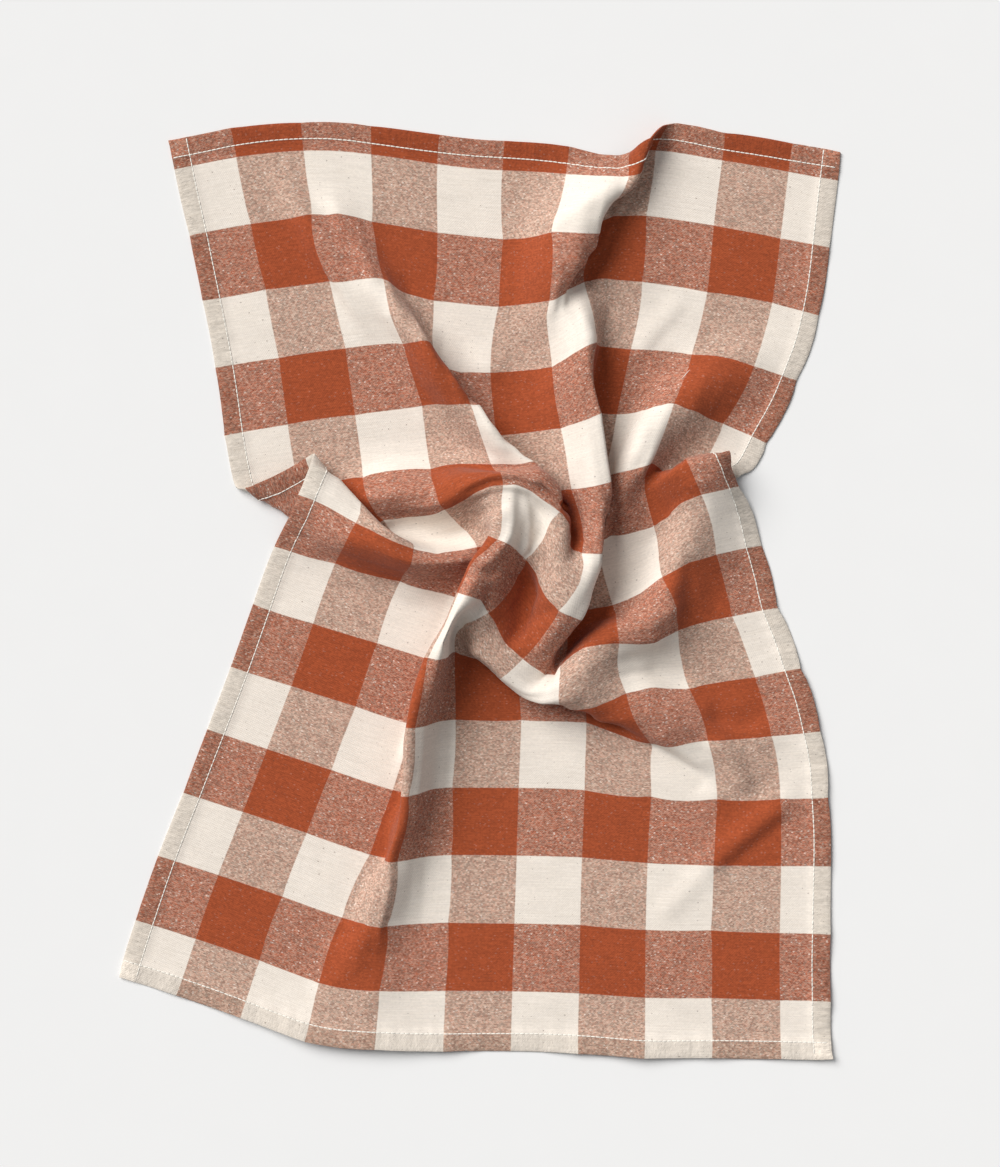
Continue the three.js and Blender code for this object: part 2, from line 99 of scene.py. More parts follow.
# the weave: sharpness of a check's border and its wandering in millimetres, the share of weft
# that shows in a mixed check, and how far three kinds of unevenness change that share
BORDER_SHARPNESS, BORDER_DRIFT = 26.0, 0.35
WEFT_SHOWS, CROSSINGS_SHOW, DASHES_SHOW, BLOTCHES_SHOW = 0.70, 0.08, 0.38, 0.17
DARK_SPECK = (0.10, 0.045, 0.03, 1)

# Where each weft line between two rows of checks lies. One row per line: "down" counts checks
# from the top, "across" counts checks from the left, and "east", "north" and "height" are the
# places in millimetres from the middle of the twist and above the table.
SECTIONS = (
    dict(name="top hem", down=TOP_HEM,
         across=[LEFT_HEM, 1, 2, 3, 4, 5, 6, 7, 7.45, 8, 9, 10, RIGHT_HEM],
         east=[-214, -173, -123, -75, -27, 17, 60, 106, 116, 129, 166, 215, 246],
         north=[309, 318, 320, 318, 313, 309, 305, 299, 306, 318, 313, 306, 300],
         height=[0, 0, 1, 0, 0, 0, 1, 6, 16, 3, 1, 0, 1]),
    dict(name="ridge below the top hem", down=1,
         across=[7, 7.45, 8],
         east=[103, 108, 119],
         north=[281, 292, 302],
         height=[10, 17, 3]),
    dict(name="line 2", down=2,
         across=[LEFT_HEM, 1, 2, 2.4, 3, 4, 5, 6, 6.4, 6.86, 7.25, 7.58, 8, 9, 10, RIGHT_HEM],
         east=[-198, -156, -114, -96, -77, -29, 18, 46, 63, 84, 81, 93, 113, 160, 206, 239],
         north=[243, 252, 258, 259, 252, 245, 240, 244, 242, 241, 251, 258, 258, 251, 241, 235],
         height=[0, 0, 3, 10, 4, 0, 2, 20, 24, 18, 4, 1, 1, 0, 0, 1]),
    dict(name="line 3", down=3,
         across=[LEFT_HEM, 1, 2, 3, 3.35, 4, 5, 6, 6.3, 6.55, 7, 7.3, 8, 9, 10, RIGHT_HEM],
         east=[-191, -146, -100, -66, -53, -33, 14, 49, 56, 59, 71, 82, 110, 156, 201, 231],
         north=[200, 208, 213, 214, 202, 198, 194, 197, 201, 206, 213, 215, 212, 204, 198, 189],
         height=[0, 0, 2, 10, 9, 2, 2, 17, 21, 15, 3, 5, 3, 1, 2, 1]),
    dict(name="line 4", down=4,
         across=[LEFT_HEM, 1, 2, 2.75, 3, 3.75, 4.5, 5, 6, 6.95, 7.4, 8, 9, 10, RIGHT_HEM],
         east=[-182, -137, -91, -58, -51, -32, -16, 7, 49, 80, 82, 103, 144, 187, 215],
         north=[153, 159, 166, 169, 167, 167, 149, 149, 151, 169, 167, 165, 161, 153, 146],
         height=[0, 0, 2, 8, 8, 22, 3, 5, 8, 28, 3, 1, 3, 6, 1]),
    dict(name="line 5, left half", down=5,
         across=[LEFT_HEM, 1, 2, 3, 3.25, 4, 4.25, 4.75, 5.25, 6],
         east=[-177, -131, -85, -38, -27, -8, 0, 2, 20, 55],
         north=[106, 114, 119, 127, 128, 125, 126, 108, 107, 109],
         height=[0, 0, 1, 4, 8, 14, 24, 4, 3, 6]),
    dict(name="line 5, right half", down=5,
         across=[6.82, 7.35, 7.85, 8, 8.6, 9, 9.45, 10, 10.43, RIGHT_HEM],
         east=[84, 76, 85, 94, 117, 132, 152, 163, 184, 193],
         north=[121, 119, 121, 120, 124, 130, 122, 117, 107, 103],
         height=[30, 3, 2, 2, 10, 18, 14, 5, 2, 1]),
    dict(name="line 6", down=6,
         across=[1, 2, 3, 4, 4.5, 4.75, 5.3, 5.85, 6, 6.72, 7.4, 8.2, 8.7, 9],
         east=[-123, -80, -32, 7, 28, 40, 38, 56, 62, 88, 78, 88, 106, 117],
         north=[68, 75, 81, 86, 84, 86, 72, 70, 70, 74, 76, 78, 83, 88],
         height=[1, 6, 10, 18, 20, 28, 8, 12, 12, 32, 4, 4, 12, 22]),
    dict(name="line 7", down=7,
         across=[2, 3, 4, 4.5, 5, 5.5, 6, 6.45, 7.2, 8.35, 9, 9.3, 9.6, 10, RIGHT_HEM],
         east=[-66, -24, 18, 34, 56, 63, 66, 84, 76, 91, 119, 130, 135, 150, 176],
         north=[52, 57, 71, 70, 51, 38, 27, 27, 30, 38, 43, 49, 59, 66, 68],
         height=[19, 27, 32, 34, 30, 26, 24, 32, 6, 5, 6, 6, 14, 20, 6]),
    dict(name="line 8, left half", down=8,
         across=[LEFT_HEM, 1, 1.25, 2, 2.35, 3, 3.6, 4, 5],
         east=[-126, -83, -72, -44, -29, -1, 5, 14, 29],
         north=[64, 45, 41, 28, 23, 30, 40, 34, 25],
         height=[14, 22, 25, 30, 28, 22, 34, 38, 30]),
    dict(name="line 8, right half", down=8,
         across=[6, 6.45, 7, 7.6, 8, 8.5, 9, 9.5, 10, RIGHT_HEM],
         east=[49, 71, 65, 73, 91, 106, 125, 140, 158, 192],
         north=[-13, -19, -10, -16, -11, -5, 9, 21, 25, 29],
         height=[34, 30, 5, 3, 6, 10, 14, 18, 14, 2]),
    dict(name="line 9, left half", down=9,
         across=[LEFT_HEM, 1, 2, 3, 4, 4.3, 5, 5.5, 6],
         east=[-141, -99, -53, -17, -14, -3, 5, 14, 29],
         north=[30, 20, 8, -4, -1, -4, -16, -32, -45],
         height=[1, 4, 4, 4, 36, 34, 28, 20, 16]),
    dict(name="line 9, right half", down=9,
         across=[6.35, 7, 7.4, 8, 8.5, 9, 10, RIGHT_HEM],
         east=[46, 52, 69, 95, 117, 135, 171, 202],
         north=[-56, -52, -39, -35, -36, -26, -18, -13],
         height=[12, 14, 20, 20, 20, 14, 6, 2]),
    dict(name="line 10", down=10,
         across=[LEFT_HEM, 1, 2, 3, 4, 4.3, 8, 8.4, 9, 10, RIGHT_HEM],
         east=[-155, -114, -69, -31, -36, -27, 100, 117, 144, 189, 217],
         north=[-8, -22, -36, -47, -45, -45, -67, -64, -69, -60, -55],
         height=[0, 0, 0, 1, 36, 39, 14, 14, 5, 5, 3]),
    dict(name="line 11", down=11,
         across=[LEFT_HEM, 1, 2, 3, 4, 5, 6, 7, 8, 9, 10, RIGHT_HEM],
         east=[-171, -129, -84, -43, -45, -17, 29, 73, 119, 154, 198, 232],
         north=[-52, -65, -79, -92, -93, -88, -87, -88, -108, -101, -99, -97],
         height=[0, 0, 0, 1, 36, 1, 0, 1, 3, 7, 5, 3]),
    dict(name="line 12", down=12,
         across=[LEFT_HEM, 2, 3, 3.5, 4, 5, 7, 8, 9, 10, RIGHT_HEM],
         east=[-187, -101, -60, -44, -50, -20, 72, 118, 163, 205, 237],
         north=[-95, -123, -137, -138, -139, -135, -136, -139, -141, -141, -141],
         height=[0, 0, 0, 5, 28, 0, 0, 0, 3, 1, 3]),
    dict(name="line 13", down=13,
         across=[LEFT_HEM, 2, 3, 3.4, 3.7, 4, 5, 7, 9, RIGHT_HEM],
         east=[-203, -118, -74, -58, -67, -58, -21, 70, 159, 240],
         north=[-139, -166, -182, -183, -184, -184, -181, -182, -188, -189],
         height=[0, 0, 0, 1, 10, 16, 0, 0, 0, 3]),
    dict(name="line 14", down=14,
         across=[LEFT_HEM, 2, 3, 3.5, 4, 5, 7, 9, RIGHT_HEM],
         east=[-221, -134, -93, -76, -66, -23, 69, 157, 241],
         north=[-182, -210, -225, -227, -229, -227, -228, -232, -236],
         height=[0, 0, 0, 6, 9, 0, 0, 0, 3]),
    dict(name="line 15", down=15,
         across=[LEFT_HEM, 2, 3, 4, 5, 7, 9, 10, RIGHT_HEM],
         east=[-236, -150, -110, -70, -24, 68, 158, 206, 241],
         north=[-226, -253, -270, -273, -274, -276, -279, -281, -282],
         height=[0, 0, 2, 7, 0, 0, 0, 0, 3]),
    dict(name="bottom hem", down=BOTTOM_HEM,
         across=[LEFT_HEM, 1, 2, 3, 4, 5, 7, 8, 9, 10, RIGHT_HEM],
         east=[-246, -209, -164, -120, -72, -25, 68, 112, 158, 207, 244],
         north=[-265, -277, -293, -309, -313, -316, -318, -321, -320, -320, -320],
         height=[1, 2, 5, 9, 8, 5, 4, 6, 3, 3, 4]),
)

# Where the cloth turns over or under itself between those lines. One row per fold, with the
# same columns, and "down" given at each station.
FOLDS = (
    dict(name="left notch, under turn",
         across=[LEFT_HEM, 0.7, 1, 1.5, 2],
         down=[5.95, 6.4, 6.65, 6.9, 7.15],
         east=[-161, -133, -118, -93, -64],
         north=[69, 52, 42, 42, 45],
         height=[1, 2, 2, 3, 3]),
    dict(name="left notch, crest of the flap",
         across=[LEFT_HEM, 0.57, 1],
         down=[7.25, 7.53, 7.81],
         east=[-111, -95, -80],
         north=[94, 76, 53],
         height=[12, 16, 22]),
    dict(name="left hem inside the notch",
         across=[LEFT_HEM, LEFT_HEM],
         down=[5.7, 6.95],
         east=[-167, -120],
         north=[73, 90],
         height=[0, 8]),
    dict(name="top ridge, lower crest",
         across=[6.72, 6.58, 6.35],
         down=[2.25, 2.5, 2.75],
         east=[79, 73, 64],
         north=[232, 222, 212],
         height=[20, 20, 20]),
    dict(name="top ridge, under turn",
         across=[7.2, 7],
         down=[2.25, 2.5],
         east=[79, 73],
         north=[244, 230],
         height=[3, 3]),
    dict(name="ridge behind the pocket",
         across=[2, 3, 4],
         down=[6.5, 6.5, 6.5],
         east=[-74, -28, 13],
         north=[62, 68, 78],
         height=[15, 22, 28]),
    dict(name="hollow of the pocket",
         across=[2.1, 2.6, 3],
         down=[7.45, 7.45, 7.45],
         east=[-54, -32, -11],
         north=[39, 38, 41],
         height=[3, 2, 5]),
    dict(name="ridge before the pocket",
         across=[1, 2, 2.8],
         down=[8.4, 8.4, 8.4],
         east=[-92, -46, -14],
         north=[30, 16, 18],
         height=[22, 28, 26]),
    dict(name="upper end of the long ridge",
         across=[3.75, 4, 4.5],
         down=[8.5, 8.5, 8.5],
         east=[-1, -6, 12],
         north=[22, 20, 11],
         height=[27, 37, 33]),
    dict(name="hollow under the long ridge",
         across=[3.65, 3.65, 3.6],
         down=[9, 9.5, 10],
         east=[-9, -20, -30],
         north=[-3, -24, -47],
         height=[23, 22, 20]),
    dict(name="trough in the middle of the twist",
         across=[4.6, 4.75, 5.05, 5.4],
         down=[7.1, 7.9, 8.5, 8.8],
         east=[32, 30, 26, 24],
         north=[66, 28, 3, -20],
         height=[32, 28, 14, 10]),
    dict(name="dart across the middle, crest",
         across=[5, 5.5, 6, 6.5, 7, 7.5],
         down=[9.42, 9.55, 9.54, 9.75, 10, 10.45],
         east=[-14, -12, 14, 34, 57, 81],
         north=[-23, -42, -62, -71, -79, -91],
         height=[30, 26, 20, 16, 14, 9]),
    dict(name="dart across the middle, under turn",
         across=[5, 6, 6.5, 7],
         down=[10, 10.05, 10.25, 10.45],
         east=[-16, 22, 45, 65],
         north=[-40, -51, -61, -68],
         height=[3, 3, 3, 3]),
    dict(name="right notch, under turn",
         across=[RIGHT_HEM, RIGHT_HEM, 10, 9.4],
         down=[5.6, 5.95, 5.88, 6],
         east=[176, 163, 148, 127],
         north=[82, 80, 78, 75],
         height=[1, 1, 1, 2]),
    dict(name="right notch, crest of the flap",
         across=[RIGHT_HEM, RIGHT_HEM, 10, 9.4],
         down=[6.35, 6.68, 6.35, 6.35],
         east=[166, 167, 138, 125],
         north=[96, 82, 91, 84],
         height=[20, 13, 22, 19]),
)

# Creases and small folds too slight for the tables above. One row per crease: its path in
# millimetres from the middle of the twist, its half width, and its depth, below zero in a trough.
CREASES = (
    dict(name="swell at the top left", width=9, depth=5.6,
         east=[-150, -123, -106, -93, -75, -58], north=[296, 261, 230, 210, 179, 157]),
    dict(name="slack right of that swell", width=7, depth=-3.0,
         east=[-130, -104, -89, -77], north=[287, 254, 228, 208]),
    dict(name="bend along the top ridge", width=5, depth=2.0,
         east=[40, 56, 72, 99], north=[238, 252, 262, 280]),
    dict(name="edge down the top ridge", width=3, depth=2.2,
         east=[117, 102, 86, 72, 59], north=[302, 276, 243, 224, 206]),
    dict(name="slack right of that edge", width=5, depth=-2.6,
         east=[122, 109, 94, 80, 68], north=[290, 268, 236, 218, 201]),
    dict(name="faint swell at the top right", width=8, depth=1.5,
         east=[146, 116, 92], north=[208, 174, 144]),
    dict(name="slack right of the faint swell", width=6, depth=-1.0,
         east=[155, 126, 102], north=[200, 168, 138]),
    dict(name="slack behind the right crest", width=5.5, depth=-5.0,
         east=[91, 90, 88, 83, 75], north=[70, 46, 23, 4, -20]),
    dict(name="valley left of the right hem", width=6, depth=-2.0,
         east=[143, 142, 140], north=[22, 0, -26]),
    dict(name="swell left of that valley", width=7, depth=1.6,
         east=[124, 129, 135], north=[14, -4, -20]),
    dict(name="nick by the right hem", width=1.8, depth=-0.8,
         east=[155, 162, 160], north=[1, -8, -19]),
    dict(name="line by the right hem", width=1.4, depth=-0.5,
         east=[101, 90, 78], north=[-145, -158, -172]),
    dict(name="ridge by the right hem", width=9, depth=4.8,
         east=[222, 206, 189, 160, 148], north=[-137, -148, -161, -186, -198]),
    dict(name="slack below that ridge", width=8, depth=-2.2,
         east=[222, 204, 180, 160], north=[-156, -166, -184, -202]),
    dict(name="end of that ridge", width=8, depth=1.6,
         east=[163, 145, 130, 118], north=[-184, -201, -218, -232]),
    dict(name="slack under the dart", width=9, depth=-1.8,
         east=[112, 128, 146], north=[-47, -56, -68]),
    dict(name="drag below the dart", width=6, depth=-4.6,
         east=[106, 120, 134, 147, 156], north=[-103, -111, -119, -128, -137]),
    dict(name="swell beside the drag", width=7, depth=4.2,
         east=[150, 160, 172, 180, 183], north=[-96, -103, -115, -130, -144]),
    dict(name="swell above the drag", width=6, depth=3.2,
         east=[112, 126, 140, 152, 162], north=[-94, -101, -110, -119, -129]),
    dict(name="dent above the drag", width=7, depth=-3.4,
         east=[152, 166, 181, 200], north=[-80, -88, -90, -80]),
    dict(name="heart, upper edge", width=2.8, depth=2.2,
         east=[-36, -24, -12, 0, 10, 19, 29, 36, 45, 54, 59, 62, 66],
         north=[54, 58, 63, 67, 70, 71, 70, 68, 61, 52, 45, 40, 34]),
    dict(name="heart, hollow below the upper edge", width=4, depth=-2.6,
         east=[-4, 2, 11, 20], north=[54, 54, 57, 61]),
    dict(name="heart, crest of the neck", width=3.6, depth=2.8,
         east=[31, 32, 32, 30, 29], north=[68, 56, 44, 28, 17]),
    dict(name="heart, hollow beside the neck", width=4, depth=-2.0,
         east=[37, 41, 41, 37], north=[64, 52, 40, 28]),
    dict(name="heart, crest left of the neck", width=4, depth=1.8,
         east=[20, 13, 6], north=[56, 50, 42]),
    dict(name="heart, trough below the neck", width=5, depth=-8.0,
         east=[29, 31, 32, 28, 23, 15], north=[24, 10, -2, -18, -30, -42]),
    dict(name="heart, dent in the right lobe", width=4.5, depth=-2.0,
         east=[40, 41, 43], north=[30, 20, 8]),
    dict(name="slit above the neck", width=2.2, depth=-5.0,
         east=[36, 42, 50, 57, 62], north=[73, 70, 64, 58, 50]),
    dict(name="elbow of the right crest", width=2.2, depth=1.4,
         east=[80, 85, 91], north=[58, 56, 53]),
    dict(name="line up the right crest", width=2.4, depth=1.4,
         east=[76, 79, 82, 84], north=[28, 36, 43, 50]),
    dict(name="heart, upper dent", width=4, depth=-3.4,
         east=[-5, 0, 7, 15], north=[16, 14, 12, 9]),
    dict(name="heart, lower dent", width=4, depth=-3.2,
         east=[8, 6, 2, -2], north=[8, -4, -12, -18]),
    dict(name="heart, dent at the right", width=3.5, depth=-2.2,
         east=[31, 37, 45, 53], north=[-24, -18, -14, -16]),
    dict(name="heart, hollow by the long ridge", width=5, depth=-2.6,
         east=[-6, -13, -19, -26], north=[-10, -20, -30, -42]),
    dict(name="foot of the long ridge", width=9, depth=2.0,
         east=[-78, -82, -88, -102, -115], north=[-215, -231, -253, -272, -300]),
    dict(name="nick by the left hem, upper", width=2, depth=-0.8,
         east=[-139, -126, -112], north=[42, 37, 35]),
    dict(name="nick by the left hem, lower", width=2, depth=-0.7,
         east=[-136, -124], north=[34, 30]),
    dict(name="nick above the bottom, upper", width=1.8, depth=-0.9,
         east=[-86, -62, -38], north=[-246, -249, -246]),
    dict(name="nick above the bottom, lower", width=1.8, depth=-0.8,
         east=[-80, -60, -42], north=[-256, -255, -251]),
    dict(name="nick in the last rust row", width=2.4, depth=-0.9,
         east=[28, 46, 64], north=[-298, -291, -283]),
)

# Loose yarn ends and thick slubs, each by three places along it in checks.
SLUBS = (
    dict(name="by the right hem", across=[8.32, 8.42, 8.5], down=[5.42, 5.22, 5.02]),
    dict(name="above the right notch", across=[8.96, 9.0, 9.04], down=[4.5, 4.4, 4.3]),
)


def list_stations():
    """All stations of both tables as rows of across, down, east, north and height."""
    rows = []
    for row in SECTIONS + FOLDS:
        down = np.broadcast_to(row["down"], len(row["across"]))
        rows.append(np.stack([row["across"], down, row["east"], row["north"], row["height"]], 1))
    return np.concatenate(rows).astype(float)


def spread_over_cloth(stations):
    """Each coordinate over the cloth: a tilted plane plus a cone over every station, weighted so
    that their sum meets every station exactly."""
    at = stations[:, :2]
    count = len(at)
    system = np.zeros((count + 3, count + 3))
    system[:count, :count] = np.linalg.norm(at[:, None] - at[None], axis=2)
    system[:count, count] = 1
    system[:count, count + 1:] = at
    system[count:, :count] = system[:count, count:].T
    weights = np.linalg.solve(system, np.vstack([stations[:, 2:], np.zeros((3, 3))]))
    across, down = np.meshgrid(np.linspace(LEFT_HEM, RIGHT_HEM, STRIPS_ACROSS + 1),
                               np.linspace(TOP_HEM, BOTTOM_HEM, STRIPS_DOWN + 1))
    here = np.stack([across.ravel(), down.ravel()], 1)
    cones = np.linalg.norm(here[:, None] - at[None], axis=2)
    points = cones @ weights[:count] + weights[count] + here @ weights[count + 1:]
    points[:, 2] = np.maximum(points[:, 2] + FLOOR, FLOOR)
    return points.reshape(across.shape + (3,))


def grid_places(across, down):
    """Places given in checks as column and row numbers of the settled grid, with fractions."""
    column = (np.asarray(across) - LEFT_HEM) / (RIGHT_HEM - LEFT_HEM) * STRIPS_ACROSS
    row = (np.asarray(down) - TOP_HEM) / (BOTTOM_HEM - TOP_HEM) * STRIPS_DOWN
    return column, row


def neighbour_pairs(count, phase):
    """Slices for the first and the second of each pair of neighbours in a row of count. Phase 0
    pairs them from the start, and phase 1 pairs them one further on."""
    last = (count - phase) // 2 * 2 + phase
    return slice(phase, last - 1, 2), slice(phase + 1, last, 2)


def fit_threads(points, first, second, length, pulling, pushing):
    """Brings pairs of crossings to the length of thread between them: a stretched thread pulls
    with the first stiffness, a slack one pushes with the second."""
    a, b = points[first], points[second]
    d = b - a
    now = np.sqrt((d * d).sum(-1, keepdims=True)) + 1e-9
    excess = now - length
    move = d / now * 0.5 * np.where(excess > 0, pulling, pushing) * excess
    points[first] = a + move
    points[second] = b - move


def bend(points):
    """Moves every crossing towards the middle of its two neighbours, and them half as far back."""
    for view in (points, points.swapaxes(0, 1)):
        for phase in range(3):
            b = np.arange(phase + 1, len(view) - 1, 3)
            move = BENDING * ((view[b - 1] + view[b + 1]) / 2 - view[b])
            view[b] += move
            view[b - 1] -= move / 2
            view[b + 1] -= move / 2


def find_touching(points):
    """Pairs of crossings near each other in space but not neighbours in the cloth, found by
    sorting all crossings into cubes and matching each cube with itself and its neighbours."""
    flat = points.reshape(-1, 3)
    cube = np.floor(flat / SEARCH_REACH).astype(np.int64)
    cube -= cube.min(0) - 1
    size = cube.max(0) + 2
    key = (cube[:, 0] * size[1] + cube[:, 1]) * size[2] + cube[:, 2]
    order = np.argsort(key, kind="stable")
    ranked = key[order]
    shifts = [(x * size[1] + y) * size[2] + z
              for x in (-1, 0, 1) for y in (-1, 0, 1) for z in (-1, 0, 1)]
    firsts, seconds = [], []
    for shift in shifts:
        low = np.searchsorted(ranked, key + shift, "left")
        count = np.searchsorted(ranked, key + shift, "right") - low
        first = np.repeat(np.arange(len(flat)), count)
        place = np.arange(len(first)) - np.repeat(np.cumsum(count) - count, count)
        firsts.append(first)
        seconds.append(order[np.repeat(low, count) + place])
    a, b = np.concatenate(firsts), np.concatenate(seconds)
    row = points.shape[1]
    apart = (abs(a // row - b // row) > 2) | (abs(a % row - b % row) > 2)
    kept = (b > a) & apart
    return a[kept], b[kept]


def part_layers(points, pairs):
    """Pushes layers closer than their spacing apart, all at once, each crossing's pushes shared
    out over the square root of their number."""
    flat = points.reshape(-1, 3)
    a, b = pairs
    d = flat[b] - flat[a]
    gap = np.sqrt((d * d).sum(1)) + 1e-9
    near = gap < LAYER_SPACING
    a, b, d, gap = a[near], b[near], d[near], gap[near]
    push = d * (LAYER_PUSH * (LAYER_SPACING - gap) / gap)[:, None]
    touches = np.bincount(a, minlength=len(flat)) + np.bincount(b, minlength=len(flat))
    moves = np.zeros_like(flat)
    np.add.at(moves, a, -push)
    np.add.at(moves, b, push)
    flat += moves / np.sqrt(np.maximum(touches, 1))[:, None]


@functools.cache
def settled_cloth():
    """The middle of the cloth in millimetres on a grid of crossings, after its threads have
    taken up their length, its folds have rounded out and its layers lie apart."""
    stations = list_stations()
    points = spread_over_cloth(stations)
    lines, places = points.shape[:2]
    step_across, step_down = TOWEL_WIDTH / STRIPS_ACROSS, TOWEL_LENGTH / STRIPS_DOWN
    diagonal = np.hypot(step_across, step_down)
    x, y = grid_places(stations[:, 0], stations[:, 1])
    i, j = np.minimum(y.astype(int), STRIPS_DOWN - 1), np.minimum(x.astype(int), STRIPS_ACROSS - 1)
    y, x = y - i, x - j
    corners = [(i, j), (i, j + 1), (i + 1, j), (i + 1, j + 1)]
    shares = [(1 - y) * (1 - x), (1 - y) * x, y * (1 - x), y * x]
    # how far a station moves when its four crossings are pulled by their shares
    grip = sum(share ** 2 for share in shares)[:, None]
    target = stations[:, 2:] + (0, 0, FLOOR)
    every = slice(None)
    pairs = None
    for turn in range(SETTLING_ROUNDS):
        points[..., 2] -= SAG_PER_ROUND
        bend(points)
        for _ in range(THREAD_PASSES):
            for phase in (0, 1):
                upper, lower = neighbour_pairs(lines, phase)
                fit_threads(points, (upper, every), (lower, every), step_down, 1, SQUEEZING)
            for phase in (0, 1):
                left, right = neighbour_pairs(places, phase)
                fit_threads(points, (every, left), (every, right), step_across, 1, SQUEEZING)
        for phase in (0, 1):
            upper, lower = neighbour_pairs(lines, phase)
            for left, right in ((slice(0, -1), slice(1, None)), (slice(1, None), slice(0, -1))):
                fit_threads(points, (upper, left), (lower, right), diagonal, SHEARING, SHEARING)
        now = sum(s[:, None] * points[c] for s, c in zip(shares, corners))
        plan = LAST_PLAN_PULL if turn > SETTLING_ROUNDS - LAST_SOFT_ROUNDS else PLAN_PULL
        pull = (target - now) * (plan, plan, HEIGHT_PULL) / grip
        for s, c in zip(shares, corners):
            np.add.at(points, c, s[:, None] * pull)
        if turn >= FIRST_LAYER_ROUND:
            if pairs is None or turn % ROUNDS_PER_SEARCH == 0:
                pairs = find_touching(points)
            part_layers(points, pairs)
        points[..., 2] = np.maximum(points[..., 2], FLOOR)
    return points


def outline_middle():
    """Middle of the laid cloth's outline seen from above: the origin in the tables' frame."""
    points = settled_cloth()
    return ((points.min((0, 1)) + points.max((0, 1))) / 2)[:2]


def curve_shares(x, count):
    """For each place x along a row of points: the four points round it and their shares, which
    are cubic in x and pass through every point."""
    start = np.clip(np.floor(x).astype(int), 0, count - 2)
    t = x - start
    near = np.clip(start[:, None] + np.arange(-1, 3), 0, count - 1)
    shares = np.stack([-t + 2 * t ** 2 - t ** 3, 2 - 5 * t ** 2 + 3 * t ** 3,
                       t + 4 * t ** 2 - 3 * t ** 3, t ** 3 - t ** 2], 1) / 2
    return near, shares


def on_cloth(across, down, paired=False):
    """Middle of the settled cloth at places given in checks: on the grid that two lists span, or
    at each pair of their values."""
    points = settled_cloth()
    x, y = grid_places(across, down)
    columns, column_shares = curve_shares(x, STRIPS_ACROSS + 1)
    rows, row_shares = curve_shares(y, STRIPS_DOWN + 1)
    if paired:
        near = points[rows[:, :, None], columns[:, None, :]]
        return np.einsum("na,nb,nabk->nk", row_shares, column_shares, near)
    wide = np.einsum("jb,ijbk->ijk", column_shares, points[:, columns])
    return np.einsum("ia,iajk->ijk", row_shares, wide[rows])


def edge_distance(across, down):
    """Distance in millimetres to the nearest side edge and to the nearest end edge."""
    side = np.minimum(across - LEFT_HEM, RIGHT_HEM - across) * CHECK
    end = np.minimum(down - TOP_HEM, BOTTOM_HEM - down) * CHECK
    return side, end


def smooth_step(low, high, x):
    """0 below low, 1 above high, and a cubic between them."""
    t = np.clip((x - low) / (high - low), 0, 1)
    return t * t * (3 - 2 * t)


def half_thickness(across, down, sizes):
    """Half the cloth's thickness: one layer inside, more where the double hems fold under, most
    where two hems cross, with a slight pinch under each line of stitches and soft outer edges."""
    single, hem = sizes.cloth_thickness * (MM / 2), sizes.hem_thickness * (MM / 2)
    width, line = sizes.hem_width * MM, sizes.stitch_line * MM
    fold_start, fold_end, pinch_width, rim_width = width - 1.5, width + 2.5, 0.9, 2.2
    total = single
    for distance in edge_distance(across, down):
        inside = 1 - smooth_step(fold_start, fold_end, distance)
        pinch = np.exp(-((distance - line) / pinch_width) ** 2)
        total = total + (hem - single) * inside * (1 - 0.2 * pinch)
    nearest = np.minimum(*edge_distance(across, down))
    return total * (0.62 + 0.38 * smooth_step(0, rim_width, nearest))


def grid_normals(points):
    """Unit normals of a grid of points: eastward step times northward step."""
    eastward = np.gradient(points, axis=1)
    northward = -np.gradient(points, axis=0)
    normal = np.cross(eastward, northward)
    return normal / np.linalg.norm(normal, axis=-1, keepdims=True)


def path_distance(x, y, path):
    """Distance from each point to a path of straight stretches, and how far along the path, from
    0 to 1, its nearest point lies."""
    path = np.asarray(path, float)
    steps = np.linalg.norm(np.diff(path, axis=0), axis=1)
    starts = np.concatenate([[0], np.cumsum(steps)])
    best, along = np.full(x.shape, np.inf), np.zeros(x.shape)
    for k, length in enumerate(steps):
        ax, ay = path[k]
        ux, uy = (path[k + 1] - path[k]) / length
        t = np.clip((x - ax) * ux + (y - ay) * uy, 0, length)
        d = np.hypot(x - ax - t * ux, y - ay - t * uy)
        nearer = d < best
        best = np.where(nearer, d, best)
        along = np.where(nearer, (starts[k] + t) / starts[-1], along)
    return best, along


def fine_relief(points, across, down):
    """Height in millimetres that the cloth's own small relief adds along its normal: the creases
    of the table, each a bell across its path that fades towards both of its ends, then
    slow and quick waves, each the product of two sines, and over the hems the puckers that the
    stitches draw in and the waves of the edge, each one sine along the hem."""
    east, north = points[..., 0], points[..., 1]
    relief = np.zeros(east.shape)
    for crease in CREASES:
        d, along = path_distance(east, north, np.stack([crease["east"], crease["north"]], 1))
        fade = smooth_step(0, CREASE_END, along) * smooth_step(0, CREASE_END, 1 - along)
        relief += crease["depth"] * np.exp(-(d / crease["width"]) ** 2) * fade
    a, b = across * CHECK, down * CHECK
    relief += (SLOW_WAVES * np.sin(a / 9.7 + 1.3 * np.sin(b / 31))
               * np.sin(b / 13.1 + np.sin(a / 23)))
    relief += (QUICK_WAVES * np.sin((a + 0.6 * b) / 5.3 + 2 * np.sin(b / 17))
               * np.sin((b - 0.4 * a) / 7.9))
    for distance, along_edge in zip(edge_distance(across, down), (b, a)):
        band = smooth_step(0, 5, distance) * (1 - smooth_step(11, 24, distance))
        ripple = np.sin(along_edge / 1.9 + 2.2 * np.sin(along_edge / 11.3) + distance / 14)
        relief += HEM_PUCKERS * band * ripple
        waves = np.sin(along_edge / 6.1 + np.sin(along_edge / 21))
        relief += HEM_WAVES * np.exp(-distance / 6) * waves
    return relief


